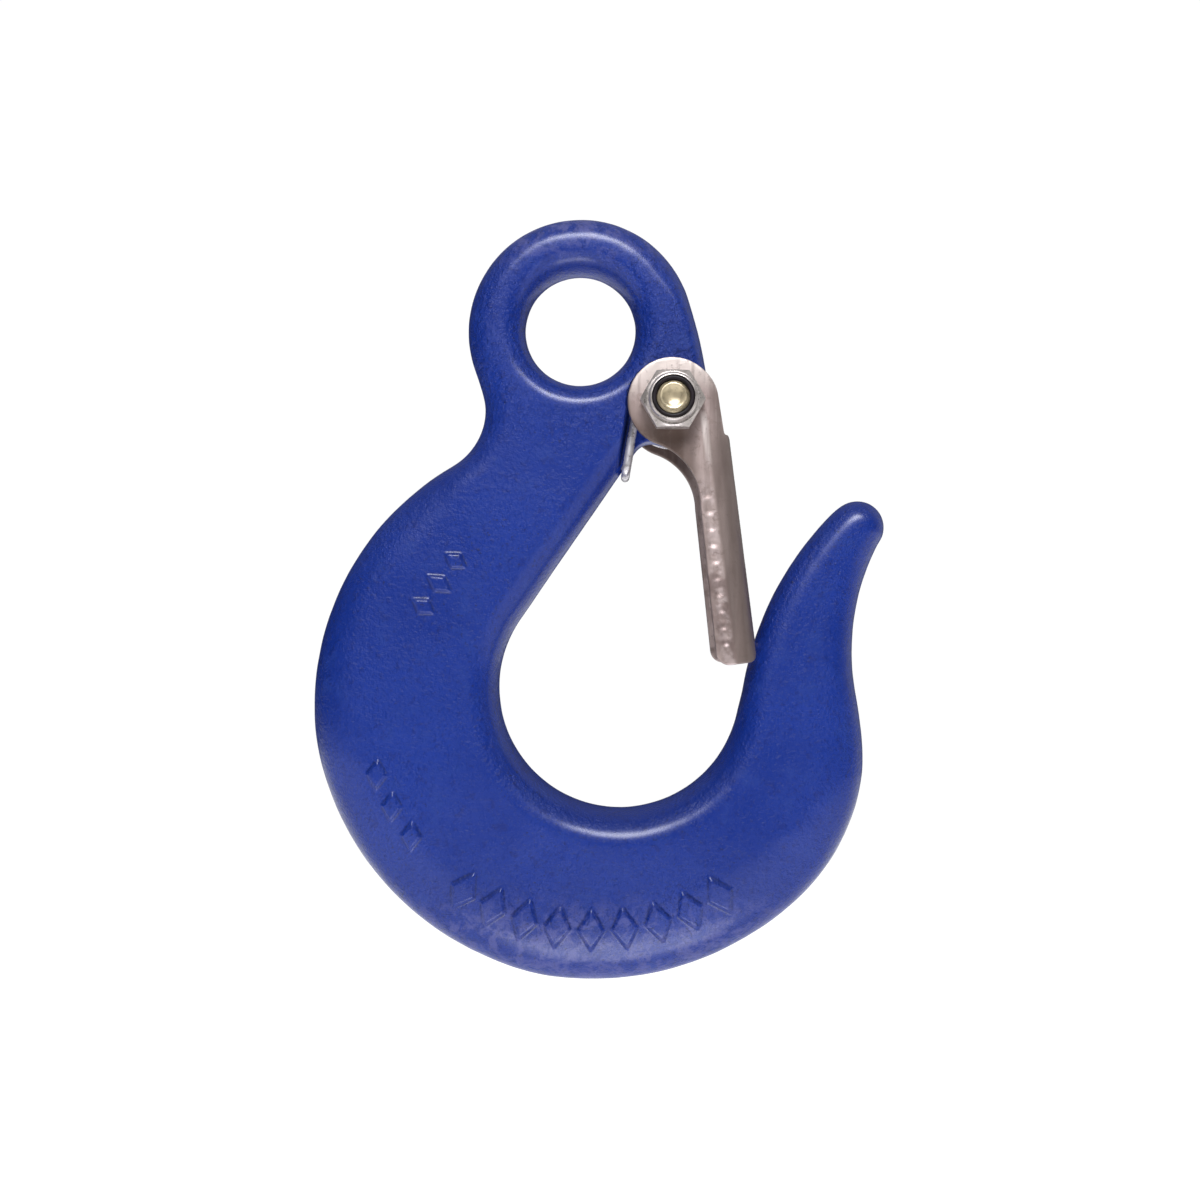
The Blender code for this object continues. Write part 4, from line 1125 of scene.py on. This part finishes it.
def zinc(name, tint):
    n = Nodes(name)
    cloud = n.noise(240, 4, 0.6)
    fine = n.noise(1800, 3, 0.6)
    a = tuple(0.88 * c for c in tint)
    b = tuple(min(1.0, 1.08 * c) for c in tint)
    col = n.mix(n.span(cloud, 0.35, 0.66), a, b)
    col = n.mix(n.math("MULTIPLY", n.span(n.noise(620, 4, 0.65), 0.50, 0.66), 0.45), col, tuple(0.40 * c for c in tint))
    n.set(Base_Color=col, Metallic=0.62)
    n.set(Roughness=n.span(cloud, 0.3, 0.7, 0.24, 0.42))
    n.bump([(cloud, 0.25, 0.00008), (fine, 0.25, 0.00002)])
    return n.m


def nylon():
    n = Nodes("insert_nylon")
    cloud = n.noise(500, 3, 0.6)
    n.set(Base_Color=n.mix(n.span(cloud, 0.35, 0.65), (0.006, 0.004, 0.005), (0.014, 0.009, 0.012)), Metallic=0.0, Specular_IOR_Level=0.2)
    n.set(Roughness=n.span(cloud, 0.3, 0.7, 0.38, 0.55))
    n.bump([(n.noise(1600, 2), 0.3, 0.00003)])
    return n.m


def wire():
    n = Nodes("spring_wire")
    cloud = n.noise(300, 4, 0.6)
    draw = n.noise(2200, 2, 0.5)
    col = n.mix(n.span(cloud, 0.35, 0.66), (0.58, 0.555, 0.59), (0.84, 0.82, 0.86))
    n.set(Base_Color=col, Metallic=0.7)
    n.set(Roughness=n.span(cloud, 0.3, 0.7, 0.20, 0.36))
    n.bump([(cloud, 0.15, 0.00005), (draw, 0.2, 0.00001)])
    return n.m


# ---- build -------------------------------------------------------------------
def dress(o, mat):
    o.data.materials.clear()
    o.data.materials.append(mat)


hook = hook_body()
dress(hook, paint())
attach(hook, "hook")
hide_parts("hook_body")

latch = latch_piece()
dress(latch, latch_steel())
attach(latch, "latch")
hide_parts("latch")

bolt, bolt_head = bolt_piece()
bolt_mat = zinc("bolt_zinc", (0.56, 0.47, 0.31))
nut_mat = zinc("nut_zinc", (0.56, 0.51, 0.48))
bolt.data.shade_smooth()
bolt.data.set_sharp_from_angle(angle=math.radians(38))
for o in (bolt, bolt_head):
    dress(o, bolt_mat)
    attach(o, "hook")
    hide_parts("latch_bolt")

nut = nut_piece()
dress(nut, nut_mat)
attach(nut, "hook")
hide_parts("latch_nut")

ring = insert_piece()
dress(ring, nylon())
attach(ring, "hook")
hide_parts("nut_insert")

spring_mat = wire()
for name, side in (("spring_front", -1), ("spring_back", 1)):
    o, share = spring_piece(name, side)
    dress(o, spring_mat)
    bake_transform(o)
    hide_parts("latch_spring")

# ---- stage -------------------------------------------------------------------
def stage():
    n = Nodes("floor_white")
    cloud = n.noise(3, 2)
    far = n.t.nodes.new("ShaderNodeVectorMath")
    far.operation = "LENGTH"
    n.t.links.new(n.co, far.inputs[0])
    n.set(Base_Color=n.mix(n.span(cloud, 0.3, 0.7), (0.55, 0.55, 0.55), (0.60, 0.60, 0.60)), Roughness=0.8,
          Emission_Strength=n.span(far.outputs["Value"], 0.30, 0.95, 0.50, 0.97))
    n.b.inputs["Emission Color"].default_value = (1, 1, 1, 1)
    bm = bmesh.new()
    bmesh.ops.create_circle(bm, cap_ends=True, segments=96, radius=2.6)
    mesh = bpy.data.meshes.new("floor")
    bm.to_mesh(mesh)
    bm.free()
    o = bpy.data.objects.new("floor", mesh)
    bpy.context.scene.collection.objects.link(o)
    o.location = (0.01, 0, -0.60)
    o.data.materials.append(n.m)


def area(name, loc, target, size, power, colour=(1, 1, 1)):
    d = bpy.data.lights.new(name, "AREA")
    d.shape = "ELLIPSE"
    d.size, d.size_y = size
    d.energy = power
    d.color = colour
    o = bpy.data.objects.new(name, d)
    bpy.context.scene.collection.objects.link(o)
    o.location = loc
    o.rotation_mode = "QUATERNION"
    o.rotation_quaternion = (Vector(target) - Vector(loc)).to_track_quat("-Z", "Y")
    o.visible_camera = False
    return o


stage()
centre = (0.005, 0.0, -0.084)
area("top_front", (0.02, -0.58, 0.50), (0.0, 0.0, -0.06), (0.40, 0.26), 4.4)
area("sheen", (0.00, -0.60, 0.47), (0.0, 0.0, -0.06), (0.60, 0.40), 4.2, (0.90, 0.92, 1.0)).visible_diffuse = False
area("low_front", (0.03, -0.30, -0.56), (0.01, 0.0, -0.14), (0.42, 0.20), 1.35, (0.90, 0.91, 1.0))
area("front_left", (-0.62, -0.95, 0.15), centre, (0.35, 0.6), 0.8).visible_glossy = False

world = bpy.data.worlds.new("studio")
bpy.context.scene.world = world
world.use_nodes = True
wt = world.node_tree
bg = wt.nodes["Background"]
coord = wt.nodes.new("ShaderNodeTexCoord")
sep = wt.nodes.new("ShaderNodeSeparateXYZ")
wt.links.new(coord.outputs["Generated"], sep.inputs[0])


def wmap(value, a, b, c, d):
    m = wt.nodes.new("ShaderNodeMapRange")
    m.interpolation_type = "SMOOTHSTEP"
    for k, v in (("From Min", a), ("From Max", b), ("To Min", c), ("To Max", d)):
        m.inputs[k].default_value = v
    wt.links.new(value, m.inputs["Value"])
    return m.outputs["Result"]


def wmath(op, a, b):
    m = wt.nodes.new("ShaderNodeMath")
    m.operation = op
    for k, v in enumerate((a, b)):
        if isinstance(v, (int, float)):
            m.inputs[k].default_value = v
        else:
            wt.links.new(v, m.inputs[k])
    return m.outputs[0]


# soft studio: brightest overhead, darker round the sides, white where seen directly
above = wmap(sep.outputs["Z"], 0.15, 0.95, 0.0, 0.30)
level = wmap(wmath("ABSOLUTE", sep.outputs["X"], 0), 0.25, 0.85, 0.055, 0.03)
right = wmath("MULTIPLY", wmap(sep.outputs["X"], 0.30, 0.95, 0.0, 0.55), wmap(sep.outputs["Y"], -0.5, 0.3, 0.0, 1.0))
glow = wmath("ADD", wmath("ADD", above, level), right)
path = wt.nodes.new("ShaderNodeLightPath")
seen = wmath("MULTIPLY", path.outputs["Is Camera Ray"], 1.0)
unseen = wmath("SUBTRACT", 1.0, seen)
wt.links.new(wmath("ADD", wmath("MULTIPLY", seen, 1.02), wmath("MULTIPLY", unseen, glow)), bg.inputs["Strength"])
bg.inputs["Color"].default_value = (1, 1, 1, 1)

# ---- camera: level, looking along +Y ------------------------------------------
CAM_X, CAM_Z, CAM_D = 12.4, -90.1, 450.0
FRAME_X, FRAME_Z, FRAME_W = 6.125, -83.8, 375.0
cam_data = bpy.data.cameras.new("camera")
cam_data.sensor_width = 36.0
cam_data.lens = 36.0 * CAM_D / FRAME_W
cam_data.shift_x = (FRAME_X - CAM_X) / FRAME_W
cam_data.shift_y = (FRAME_Z - CAM_Z) / FRAME_W
cam = bpy.data.objects.new("camera", cam_data)
bpy.context.scene.collection.objects.link(cam)
cam.location = (CAM_X * MM, -CAM_D * MM, CAM_Z * MM)
cam.rotation_euler = (math.pi / 2, 0, 0)
bpy.context.scene.camera = cam
bpy.context.scene.view_settings.view_transform = "Standard"
